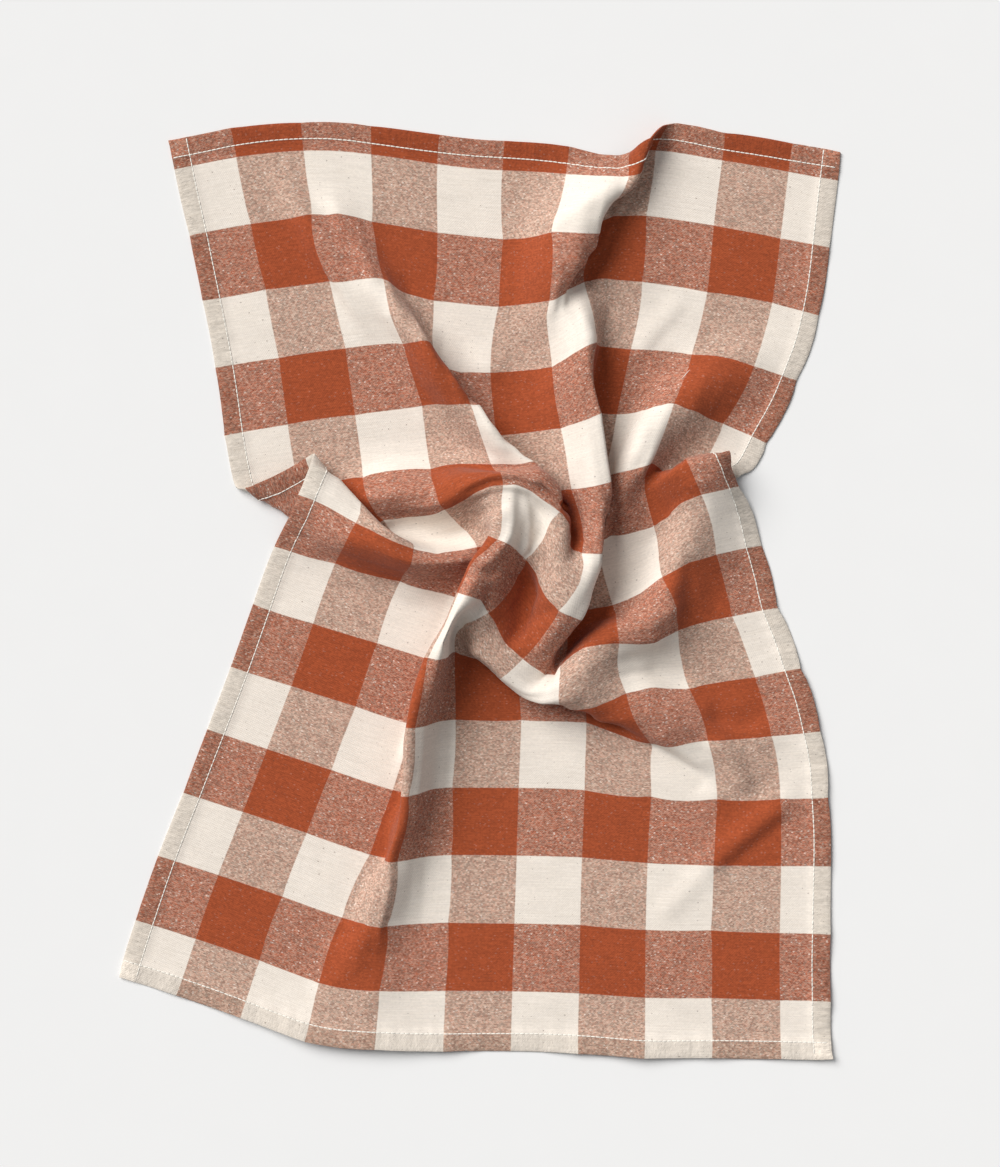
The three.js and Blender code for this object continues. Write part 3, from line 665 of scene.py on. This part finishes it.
def cloth_faces(across, down, sizes):
    """Upper side, underside and normals of the cloth at places given in checks: the settled
    middle, lowered to the table for its own thickness, plus relief along the normal, then half
    the thickness to either side."""
    points = on_cloth(across, down)
    across, down = np.meshgrid(across, down)
    half = half_thickness(across, down, sizes)
    normals = grid_normals(points)
    points = points + normals * fine_relief(points, across, down)[..., None]
    points[..., 2] = np.maximum(points[..., 2] - FLOOR + half, half)
    normals = grid_normals(points)
    reach = half[..., None] * normals
    return points + reach, points - reach, normals


def side_at(across, down, side, sizes):
    """The cloth's upper side (1) or underside (-1) and its normal at pairs of places in checks,
    the normal from four places a little way round each."""
    step = 0.03
    shifts = [(0, 0), (step, 0), (-step, 0), (0, step), (0, -step)]
    points = [on_cloth(across + x, down + y, paired=True) for x, y in shifts]
    normal = np.cross(points[1] - points[2], points[4] - points[3])
    normal /= np.linalg.norm(normal, axis=1, keepdims=True)
    half = half_thickness(across, down, sizes)
    relief = fine_relief(points[0], across, down)
    middle = points[0] + normal * relief[:, None]
    middle[:, 2] = np.maximum(middle[:, 2] - FLOOR + half, half)
    return middle + side * half[:, None] * normal, normal


def add_piece(name, corners, faces, material, places=None):
    """Smooth mesh object from an array of corners in millimetres and a list of faces, with its
    material, bound to the root body. places holds across and down in checks for each corner
    and becomes the piece's UV map."""
    mesh = bpy.data.meshes.new(name)
    corners = (corners - (*outline_middle(), 0)) / MM
    mesh.from_pydata(corners.tolist(), [], faces)
    if places is not None:
        layer = mesh.uv_layers.new(name="weave")
        loops = np.empty(len(mesh.loops), dtype=np.int32)
        mesh.loops.foreach_get("vertex_index", loops)
        layer.data.foreach_set("uv", places[loops].astype(np.float32).ravel())
    mesh.polygons.foreach_set("use_smooth", np.full(len(mesh.polygons), True))
    mesh.materials.append(material)
    mesh.update()
    mesh.validate()
    piece = bpy.data.objects.new(name, mesh)
    bpy.context.scene.collection.objects.link(piece)
    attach(piece, "root")
    return piece


def quads(first, second, third, fourth):
    """Quads from four arrays of corner numbers of one shape."""
    return np.stack([first.ravel(), second.ravel(), third.ravel(), fourth.ravel()], 1)


def hem_lines(low, high, count, sizes):
    """Places of the grid lines along one way of the cloth, in checks: close together over the
    edge, the line of stitches and the hem's inner fold, and even between the two hems."""
    by_edge = np.array([0, 0.5, 1.3, 2.8, 4.8, 7.0, 9.2])
    by_stitches = sizes.stitch_line * MM + np.array([-0.9, 0, 0.9])
    by_fold = sizes.hem_width * MM + np.array([0.7, 2.6])
    hem = np.unique(np.round(np.concatenate([by_edge, by_stitches, by_fold]), 3)) / CHECK
    inner = np.linspace(low + hem[-1], high - hem[-1], count - 2 * len(hem) + 3)[1:-1]
    return np.concatenate([low + hem, inner, high - hem[::-1]])


def tubes(centres, normals, radius, sides):
    """Closed tubes: one along each row of centres, a ring of sides round every centre, and a flat
    cap at each end. centres and normals are rows by rings by 3."""
    along = np.gradient(centres, axis=1)
    along /= np.linalg.norm(along, axis=-1, keepdims=True)
    wide = np.cross(along, normals)
    wide /= np.linalg.norm(wide, axis=-1, keepdims=True)
    high = np.cross(wide, along)
    turn = np.arange(sides) / sides * 2 * np.pi
    ring = np.cos(turn)[:, None] * wide[..., None, :] + np.sin(turn)[:, None] * high[..., None, :]
    rows, rings = centres.shape[:2]
    corners = centres[:, :, None] + np.broadcast_to(radius, (rows, rings))[..., None, None] * ring
    number = np.arange(rows * rings * sides).reshape(rows, rings, sides)
    following = np.roll(number, -1, axis=2)
    walls = quads(number[:, :-1], following[:, :-1], following[:, 1:], number[:, 1:])
    caps = number[:, 0, ::-1].tolist() + number[:, -1].tolist()
    return corners.reshape(-1, 3), walls.tolist() + caps


def new_material(name, viewport_colour):
    """Empty node material: its tree, its Principled shader and a function that adds nodes."""
    material = bpy.data.materials.new(name)
    material.use_nodes = True
    material.diffuse_color = (*viewport_colour, 1)
    tree = material.node_tree
    shader = tree.nodes["Principled BSDF"]

    def add(kind, *inputs, **settings):
        """Adds a node, sets it up, and plugs or writes its inputs in order. None leaves one."""
        node = tree.nodes.new(kind)
        for key, value in settings.items():
            setattr(node, key, value)
        for socket, value in zip(node.inputs, inputs):
            if isinstance(value, bpy.types.NodeSocket):
                tree.links.new(value, socket)
            elif value is not None:
                socket.default_value = value
        return node

    return material, tree, shader, add


def maths(add, kind, *inputs, clamp=False):
    """Result of one Math node on the inputs, kept between 0 and 1 if it is clamped."""
    return add("ShaderNodeMath", *inputs, operation=kind, use_clamp=clamp).outputs[0]


def mixed(add, factor, first, second, blend="MIX"):
    """Colour between two others, or one blended onto the other."""
    node = add("ShaderNodeMix", data_type="RGBA", blend_type=blend)
    for name, value in (("Factor_Float", factor), ("A_Color", first), ("B_Color", second)):
        socket = next(s for s in node.inputs if s.identifier == name)
        if isinstance(value, bpy.types.NodeSocket):
            socket.id_data.links.new(value, socket)
        else:
            socket.default_value = value
    return next(s for s in node.outputs if s.identifier == "Result_Color")


def threads_noise(add, across, down, wide, tall, detail=2.0, roughness=0.5):
    """Noise drawn out along threads: one blotch is about wide by tall millimetres."""
    x = maths(add, "MULTIPLY", across, CHECK / wide)
    y = maths(add, "MULTIPLY", down, CHECK / tall)
    place = add("ShaderNodeCombineXYZ", x, y, 0.0).outputs[0]
    noise = add("ShaderNodeTexNoise", noise_dimensions="2D")
    place.node.id_data.links.new(place, noise.inputs["Vector"])
    noise.inputs["Scale"].default_value = 1.0
    noise.inputs["Detail"].default_value = detail
    noise.inputs["Roughness"].default_value = roughness
    return noise.outputs["Fac"]


def yarn_cells(add, across, down, wide, tall):
    """A random value for each short stretch of weft, wide by tall millimetres, every row of them
    starting at its own place."""
    row = maths(add, "FLOOR", maths(add, "MULTIPLY", down, CHECK / tall))
    start = add("ShaderNodeTexWhiteNoise", noise_dimensions="1D")
    start.id_data.links.new(row, start.inputs["W"])
    place = maths(add, "MULTIPLY_ADD", across, CHECK / wide, start.outputs["Value"])
    cell = add("ShaderNodeCombineXYZ", maths(add, "FLOOR", place), row, 0.0).outputs[0]
    return add("ShaderNodeTexWhiteNoise", cell, noise_dimensions="2D").outputs["Value"]


def gingham(colours, sizes):
    """Plain weave of rust and cream yarns. Warp colour changes with every check across, weft
    colour with every check down, and the weave shows one or the other crossing by crossing."""
    material, tree, shader, add = new_material("gingham", (0.6, 0.35, 0.25))
    place = add("ShaderNodeUVMap", uv_map="weave").outputs[0]
    across, down, _ = add("ShaderNodeSeparateXYZ", place).outputs
    drift = threads_noise(add, across, down, 3.0, 3.0)
    drift = maths(add, "MULTIPLY", maths(add, "SUBTRACT", drift, 0.5), BORDER_DRIFT / CHECK)
    loose_across = maths(add, "ADD", across, drift)
    loose_down = maths(add, "SUBTRACT", down, drift)

    def stripe(place, sign):
        """1 in every second check and 0 between: a steep sine, cut off at both ends."""
        wave = maths(add, "SINE", maths(add, "MULTIPLY", place, np.pi))
        return maths(add, "MULTIPLY_ADD", wave, sign * BORDER_SHARPNESS, 0.5, clamp=True)

    warp_rust, weft_rust = stripe(loose_across, -1), stripe(loose_down, 1)
    rust, deep = (*colours.rust, 1), (*colours.rust_deep, 1)
    cream, warm = (*colours.cream, 1), (*colours.cream_warm, 1)
    warp_yarn = threads_noise(add, across, down, 0.9, 26.0, detail=1.0)
    weft_yarn = threads_noise(add, across, down, 18.0, 0.8, detail=1.0)
    warp_rust_colour = mixed(add, warp_yarn, deep, rust)
    weft_rust_colour = mixed(add, weft_yarn, deep, rust)
    crossed = maths(add, "ABSOLUTE", maths(add, "SUBTRACT", warp_rust, weft_rust))
    # in the mixed checks the cream yarn turns darker and redder: partly rust showing through it,
    # partly painted shade between the yarns and painted rust light bounced onto them
    shaded_cream = (*colours.cream_in_weave_shade, 1)
    warp_cream = mixed(add, crossed, mixed(add, warp_yarn, warm, cream), shaded_cream)
    weft_cream = mixed(add, crossed, mixed(add, weft_yarn, warm, cream), shaded_cream)
    warp = mixed(add, warp_rust, warp_cream, warp_rust_colour)
    weft = mixed(add, weft_rust, weft_cream, weft_rust_colour)

    # which of the two yarns shows, with the unevenness of hand and yarn in the mixed checks
    turns = np.pi * CHECK / (sizes.yarn_pitch * MM)
    over = maths(add, "MULTIPLY",
                 maths(add, "COSINE", maths(add, "MULTIPLY", loose_across, turns)),
                 maths(add, "COSINE", maths(add, "MULTIPLY", loose_down, turns * 0.93)))
    dashes = maths(add, "SUBTRACT", yarn_cells(add, loose_across, loose_down, 1.2, 0.56), 0.5)
    blotch = maths(add, "SUBTRACT", threads_noise(add, across, down, 4.0, 1.4), 0.5)
    grain = maths(add, "MULTIPLY_ADD", over, CROSSINGS_SHOW,
                  maths(add, "MULTIPLY", dashes, DASHES_SHOW))
    grain = maths(add, "MULTIPLY_ADD", blotch, BLOTCHES_SHOW, grain)
    weft_up = maths(add, "ADD", grain, WEFT_SHOWS, clamp=True)
    cloth = mixed(add, weft_up, warp, weft)

    # single pale flecks in the mixed checks and a few dark specks
    fleck = yarn_cells(add, loose_across, loose_down, 1.2, 0.8)
    fleck = maths(add, "MULTIPLY_ADD", fleck, 30.0, -28.8, clamp=True)
    fleck = maths(add, "MULTIPLY", fleck, maths(add, "MULTIPLY_ADD", crossed, 0.40, 0.08))
    cloth = mixed(add, fleck, cloth, cream)
    speck = threads_noise(add, across, down, 2.1, 1.6, detail=0.0)
    speck = maths(add, "MULTIPLY_ADD", speck, 14.0, -11.9, clamp=True)
    cloth = mixed(add, maths(add, "MULTIPLY", speck, 0.5), cloth, DARK_SPECK)

    # light and dark of the yarns: streaks along the weft, short pile, and large soft clouds
    streak = threads_noise(add, across, down, 30.0, 0.9, detail=2.0)
    pile = yarn_cells(add, loose_across, loose_down, 1.5, 0.9)
    pile = maths(add, "SUBTRACT", pile, 0.5)
    any_rust = maths(add, "MAXIMUM", warp_rust, weft_rust)
    pile = maths(add, "MULTIPLY", pile, maths(add, "MULTIPLY_ADD", any_rust, 0.22, 0.08))
    pile = maths(add, "MULTIPLY", pile, maths(add, "ADD", crossed, 1.0))
    cloud = threads_noise(add, across, down, 34.0, 26.0, detail=3.0)
    tone = maths(add, "MULTIPLY_ADD", streak, 0.18, 0.91)
    tone = maths(add, "MULTIPLY", tone, maths(add, "ADD", pile, 1.0))
    tone = maths(add, "MULTIPLY", tone, maths(add, "MULTIPLY_ADD", cloud, 0.10, 0.95))
    cloth = mixed(add, 1.0, cloth, add("ShaderNodeCombineColor", tone, tone, tone).outputs[0],
                  "MULTIPLY")

    # the hems, darker and puckered: partly their denser double cloth, partly painted shade of the
    # puckers, drawn from the same noise as their bump
    side_hem = add("ShaderNodeAttribute", attribute_name="side_hem").outputs["Fac"]
    end_hem = add("ShaderNodeAttribute", attribute_name="end_hem").outputs["Fac"]
    side_pucker = threads_noise(add, across, down, 5.5, 2.6, detail=3.0, roughness=0.7)
    end_pucker = threads_noise(add, across, down, 2.8, 4.5, detail=3.0, roughness=0.7)
    pucker = maths(add, "ADD", maths(add, "MULTIPLY", side_pucker, side_hem),
                   maths(add, "MULTIPLY", end_pucker, end_hem))
    hem = maths(add, "MAXIMUM", side_hem, maths(add, "MULTIPLY", end_hem, 0.7))
    # painted pucker shade: the pucker noise takes the hem's colour down to between 0.61 and 1.03 of
    # itself
    hem_pucker_shade = maths(add, "MULTIPLY_ADD", pucker, 0.42, 0.61)
    hem_shade_colour = add("ShaderNodeCombineColor", hem_pucker_shade, maths(add, "MULTIPLY", hem_pucker_shade, 0.985),
               maths(add, "MULTIPLY", hem_pucker_shade, 0.96)).outputs[0]
    cloth = mixed(add, hem, cloth, mixed(add, 1.0, cloth, hem_shade_colour, "MULTIPLY"))
    tree.links.new(cloth, shader.inputs["Base Color"])

    # the fine relief of the yarns and of the puckers, and the matt finish
    relief = maths(add, "MULTIPLY_ADD", over, 0.10, maths(add, "MULTIPLY", dashes, 0.06))
    relief = maths(add, "ADD", relief, maths(add, "MULTIPLY", streak, 0.12))
    relief = maths(add, "MULTIPLY_ADD", pucker, 1.3, relief)
    bump = add("ShaderNodeBump")
    bump.inputs["Strength"].default_value = 0.6
    bump.inputs["Distance"].default_value = 0.0008
    tree.links.new(relief, bump.inputs["Height"])
    tree.links.new(bump.outputs[0], shader.inputs["Normal"])
    shader.inputs["Roughness"].default_value = 0.92
    shader.inputs["Specular IOR Level"].default_value = 0.18
    shader.inputs["Sheen Weight"].default_value = 0.12
    shader.inputs["Sheen Roughness"].default_value = 0.5
    return material


def mottled(name, colour, darkest, scale, roughness, specular):
    """One colour under a noise on object coordinates, scale blotches to the metre, that takes it
    down to the darkest share of itself."""
    material, tree, shader, add = new_material(name, colour)
    place = add("ShaderNodeTexCoord").outputs["Object"]
    noise = add("ShaderNodeTexNoise")
    tree.links.new(place, noise.inputs["Vector"])
    noise.inputs["Scale"].default_value = scale
    dark = tuple(darkest * value for value in colour)
    tree.links.new(mixed(add, noise.outputs["Fac"], (*dark, 1), (*colour, 1)),
                   shader.inputs["Base Color"])
    shader.inputs["Roughness"].default_value = roughness
    shader.inputs["Specular IOR Level"].default_value = specular
    return material


def sewing_thread(colours):
    """Cream sewing cotton with the faint light and dark of its twist."""
    return mottled("sewing_thread", colours.thread, darkest=0.8, scale=2400.0, roughness=0.7,
                   specular=0.25)


def table_top(colours):
    """Matt white studio table with a hardly visible mottle."""
    return mottled("table_top", colours.table, darkest=0.985, scale=30.0, roughness=0.9,
                   specular=0.1)


class TowelSizes(PropertyGroup):
    """Sizes that a user can change, in metres"""
    cloth_thickness: FloatProperty(name="Cloth thickness", description="One layer of cloth",
                                   default=0.0007, min=0.0003, unit="LENGTH")
    hem_thickness: FloatProperty(name="Hem thickness", description="Cloth with its hem turned in",
                                 default=0.0014, min=0.0005, unit="LENGTH")
    hem_width: FloatProperty(name="Hem width", description="Edge to the hem's inner fold",
                             default=0.0135, min=0.005, unit="LENGTH")
    stitch_line: FloatProperty(name="Stitch line", description="Edge to the line of stitches",
                               default=0.0120, min=0.004, unit="LENGTH")
    stitch_pitch: FloatProperty(name="Stitch pitch", description="One stitch and its gap",
                                default=0.0033, min=0.001, unit="LENGTH")
    stitch_length: FloatProperty(name="Stitch length", description="What shows of one stitch",
                                 default=0.0032, min=0.001, unit="LENGTH")
    thread_radius: FloatProperty(name="Thread radius", description="Half the sewing thread",
                                 default=0.00050, min=0.0001, unit="LENGTH")
    yarn_pitch: FloatProperty(name="Yarn pitch", description="From one woven yarn to the next",
                              default=0.00080, min=0.0003, unit="LENGTH")


class TowelColours(PropertyGroup):
    """Colours that a user can change"""
    rust: FloatVectorProperty(name="Rust yarn", description="Lighter rust of the dyed yarn",
                              default=(0.42, 0.088, 0.029), subtype="COLOR", min=0, max=1)
    rust_deep: FloatVectorProperty(name="Deep rust yarn", description="Darker rust of the yarn",
                                   default=(0.28, 0.056, 0.020), subtype="COLOR", min=0, max=1)
    cream: FloatVectorProperty(name="Cream yarn", description="Undyed yarn, its lighter side",
                               default=(0.87, 0.80, 0.725), subtype="COLOR", min=0, max=1)
    cream_warm: FloatVectorProperty(name="Warm cream yarn", description="Undyed yarn, darker side",
                                    default=(0.785, 0.70, 0.61), subtype="COLOR", min=0, max=1)
    # cream where it crosses rust: partly rust showing through, partly painted shade and painted
    # rust bounce light between the yarns
    cream_in_weave_shade: FloatVectorProperty(name="Cream yarn with painted weave shade",
                                      description="Undyed yarn where it crosses rust",
                                      default=(0.575, 0.45, 0.36), subtype="COLOR", min=0, max=1)
    thread: FloatVectorProperty(name="Sewing thread", description="Cream sewing cotton",
                                default=(0.97, 0.93, 0.85), subtype="COLOR", min=0, max=1)
    table: FloatVectorProperty(name="Table", description="White studio table",
                               default=(0.86, 0.86, 0.86), subtype="COLOR", min=0, max=1)


class TOWEL_OT_cloth(Operator):
    """The hemmed cloth: a closed sheet over the laid folds, with hems, creases and weave"""
    bl_idname = "towel.cloth"
    bl_label = "Cloth"
    bl_options = {"REGISTER", "UNDO"}

    def execute(self, context):
        """Grid of upper corners over a grid of lower ones, joined by a rim along the edges. Two
        attributes say how far each corner is in a side hem or an end hem."""
        sizes, colours = context.scene.towel_sizes, context.scene.towel_colours
        across = hem_lines(LEFT_HEM, RIGHT_HEM, FINE_LINES_ACROSS, sizes)
        down = hem_lines(TOP_HEM, BOTTOM_HEM, FINE_LINES_DOWN, sizes)
        upper, lower, _ = cloth_faces(across, down, sizes)
        lines, places = upper.shape[:2]
        top = np.arange(lines * places).reshape(lines, places)
        under = top + top.size
        faces = [quads(top[:-1, :-1], top[1:, :-1], top[1:, 1:], top[:-1, 1:]),
                 quads(under[:-1, :-1], under[:-1, 1:], under[1:, 1:], under[1:, :-1])]
        edge = np.concatenate([top[0, :-1], top[:-1, -1], top[-1, :0:-1], top[:0:-1, 0]])
        ahead = np.roll(edge, -1)
        faces.append(quads(edge, ahead, ahead + top.size, edge + top.size))
        corners = np.concatenate([upper.reshape(-1, 3), lower.reshape(-1, 3)])
        x, y = np.meshgrid(across, down)
        spots = np.stack([x.ravel(), y.ravel()], 1)
        piece = add_piece("towel_cloth_woven", corners, np.concatenate(faces).tolist(),
                          gingham(colours, sizes), np.concatenate([spots, spots]))
        edge = sizes.stitch_line * MM
        for name, distance in zip(("side_hem", "end_hem"), edge_distance(x, y)):
            hem = 1 - smooth_step(edge - 1, edge + 1, distance.ravel())
            layer = piece.data.attributes.new(name, "FLOAT", "POINT")
            layer.data.foreach_set("value", np.concatenate([hem, hem]).astype(np.float32))
        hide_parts("towel_cloth")
        return {"FINISHED"}


class TOWEL_OT_stitches(Operator):
    """The lines of stitches that hold the four hems, on both sides of the cloth"""
    bl_idname = "towel.stitches"
    bl_label = "Hem stitches"
    bl_options = {"REGISTER", "UNDO"}

    def execute(self, context):
        """Every stitch is a short tube, thinner at its ends, that lies half sunk in the cloth and
        arches a little. They stand at even pitch along four lines in the flat cloth, each line
        swaying by a slow sine, and are carried onto its laid surface."""
        sizes, colours = context.scene.towel_sizes, context.scene.towel_colours
        inset = sizes.stitch_line * MM / CHECK
        pitch, length = sizes.stitch_pitch * MM / CHECK, sizes.stitch_length * MM / CHECK
        margin = 0.03
        reach = np.linspace(0, length, 5)
        material = sewing_thread(colours)
        eastward = np.arange(LEFT_HEM + margin, RIGHT_HEM - margin - length, pitch)[:, None] + reach
        downward = np.arange(TOP_HEM + margin, BOTTOM_HEM - margin - length, pitch)[:, None] + reach
        across, down = [], []
        for place, sway in ((TOP_HEM + inset, 0.010), (BOTTOM_HEM - inset, 0.006)):
            across.append(eastward)
            down.append(place + sway * np.sin(eastward * 2.1 + place))
        for place, sway in ((LEFT_HEM + inset, 0.006), (RIGHT_HEM - inset, 0.007)):
            across.append(place + sway * np.sin(downward * 1.3 + place))
            down.append(downward)
        across, down = np.concatenate(across), np.concatenate(down)
        thickest = sizes.thread_radius * MM
        arch, sunk = 0.25, 0.42
        rise = thickest * (arch * np.sin(np.pi * reach / length) - sunk)
        radius = thickest * np.array([0.7, 0.95, 1, 0.95, 0.7])
        for side, name in ((1, "hem_stitches_upper"), (-1, "hem_stitches_under")):
            surface, normals = side_at(across.ravel(), down.ravel(), side, sizes)
            centres = surface.reshape(across.shape + (3,))
            normals = normals.reshape(centres.shape) * side
            centres = centres + normals * rise[None, :, None]
            centres[..., 2] = np.maximum(centres[..., 2], thickest)
            corners, faces = tubes(centres, normals, radius, sides=5)
            add_piece(name, corners, faces, material)
        return {"FINISHED"}


class TOWEL_OT_slubs(Operator):
    """Loose yarn ends and thick slubs that lie on the cloth"""
    bl_idname = "towel.slubs"
    bl_label = "Slubs"
    bl_options = {"REGISTER", "UNDO"}

    def execute(self, context):
        """One thin tube per slub along a gentle bow over the upper side of the cloth, its radius
        the top of a sine."""
        sizes, colours = context.scene.towel_sizes, context.scene.towel_colours
        lift, thickest = 0.08, 0.24
        t = np.linspace(0, 1, 9)
        across = np.stack([np.interp(t, (0, 0.5, 1), s["across"]) for s in SLUBS])
        down = np.stack([np.interp(t, (0, 0.5, 1), s["down"]) for s in SLUBS])
        surface, normals = side_at(across.ravel(), down.ravel(), 1, sizes)
        normals = normals.reshape(across.shape + (3,))
        centres = surface.reshape(normals.shape) + lift * normals
        radius = thickest * np.sin(np.pi * (0.12 + 0.76 * t))
        corners, faces = tubes(centres, normals, radius, sides=6)
        add_piece("slubs", corners, faces, sewing_thread(colours))
        return {"FINISHED"}


class TOWEL_OT_stage(Operator):
    """White table, soft studio light from the upper left and the camera straight above"""
    bl_idname = "towel.stage"
    bl_label = "Stage"
    bl_options = {"REGISTER", "UNDO"}

    def execute(self, context):
        """A flat table 8 m wide just under the cloth, a wide sun, a pale sky and a long lens."""
        scene, colours = context.scene, context.scene.towel_colours
        mesh = bpy.data.meshes.new("table")
        side, level = TABLE_HALF_SIDE, TABLE_LEVEL
        mesh.from_pydata([(-side, -side, level), (side, -side, level), (side, side, level),
                          (-side, side, level)], [], [(0, 1, 2, 3)])
        mesh.materials.append(table_top(colours))
        table = bpy.data.objects.new("table", mesh)
        scene.collection.objects.link(table)

        world = bpy.data.worlds.new("studio")
        world.use_nodes = True
        background = world.node_tree.nodes["Background"]
        background.inputs["Color"].default_value = SKY_COLOUR
        background.inputs["Strength"].default_value = SKY_STRENGTH
        scene.world = world
        light = bpy.data.lights.new("window", "SUN")
        light.energy, light.angle, light.color = SUN_STRENGTH, SUN_ANGLE, SUN_COLOUR
        sun = bpy.data.objects.new("window", light)
        sun.rotation_mode = "QUATERNION"
        sun.rotation_quaternion = Vector(SUN_FROM).to_track_quat("Z", "Y")
        scene.collection.objects.link(sun)
        scene.view_settings.view_transform = "Standard"

        lens = bpy.data.cameras.new("camera")
        lens.lens, lens.sensor_width = LENS_LENGTH, SENSOR_WIDTH
        camera = bpy.data.objects.new("camera", lens)
        middle = outline_middle()
        camera.location = ((VIEW_EAST - middle[0]) / MM, (VIEW_NORTH - middle[1]) / MM,
                           VIEW_HEIGHT / MM * LENS_LENGTH / SENSOR_WIDTH)
        scene.collection.objects.link(camera)
        scene.camera = camera
        return {"FINISHED"}


class TOWEL_PT_panel(Panel):
    """The towel's pieces, sizes and colours"""
    bl_idname = "TOWEL_PT_panel"
    bl_label = "Tea towel"
    bl_space_type = "VIEW_3D"
    bl_region_type = "UI"
    bl_category = "Towel"

    def draw(self, context):
        """A box of sizes, a box of colours, then a button for each operator."""
        for group in (context.scene.towel_sizes, context.scene.towel_colours):
            box = self.layout.box()
            for name in group.bl_rna.properties.keys():
                if name not in ("rna_type", "name"):
                    box.prop(group, name)
        for operator in OPERATORS:
            self.layout.operator(operator.bl_idname)


OPERATORS = (TOWEL_OT_cloth, TOWEL_OT_stitches, TOWEL_OT_slubs, TOWEL_OT_stage)
CLASSES = (TowelSizes, TowelColours, *OPERATORS, TOWEL_PT_panel)


def register():
    """Registers the classes and puts both groups of settings on the scene."""
    for cls in CLASSES:
        bpy.utils.register_class(cls)
    bpy.types.Scene.towel_sizes = PointerProperty(type=TowelSizes)
    bpy.types.Scene.towel_colours = PointerProperty(type=TowelColours)


def unregister():
    """Takes both groups of settings off the scene and unregisters the classes."""
    del bpy.types.Scene.towel_colours
    del bpy.types.Scene.towel_sizes
    for cls in reversed(CLASSES):
        bpy.utils.unregister_class(cls)


def main():
    register()
    bpy.ops.towel.cloth()
    bpy.ops.towel.stitches()
    bpy.ops.towel.slubs()
    bpy.ops.towel.stage()


if __name__ == "__main__":
    main()
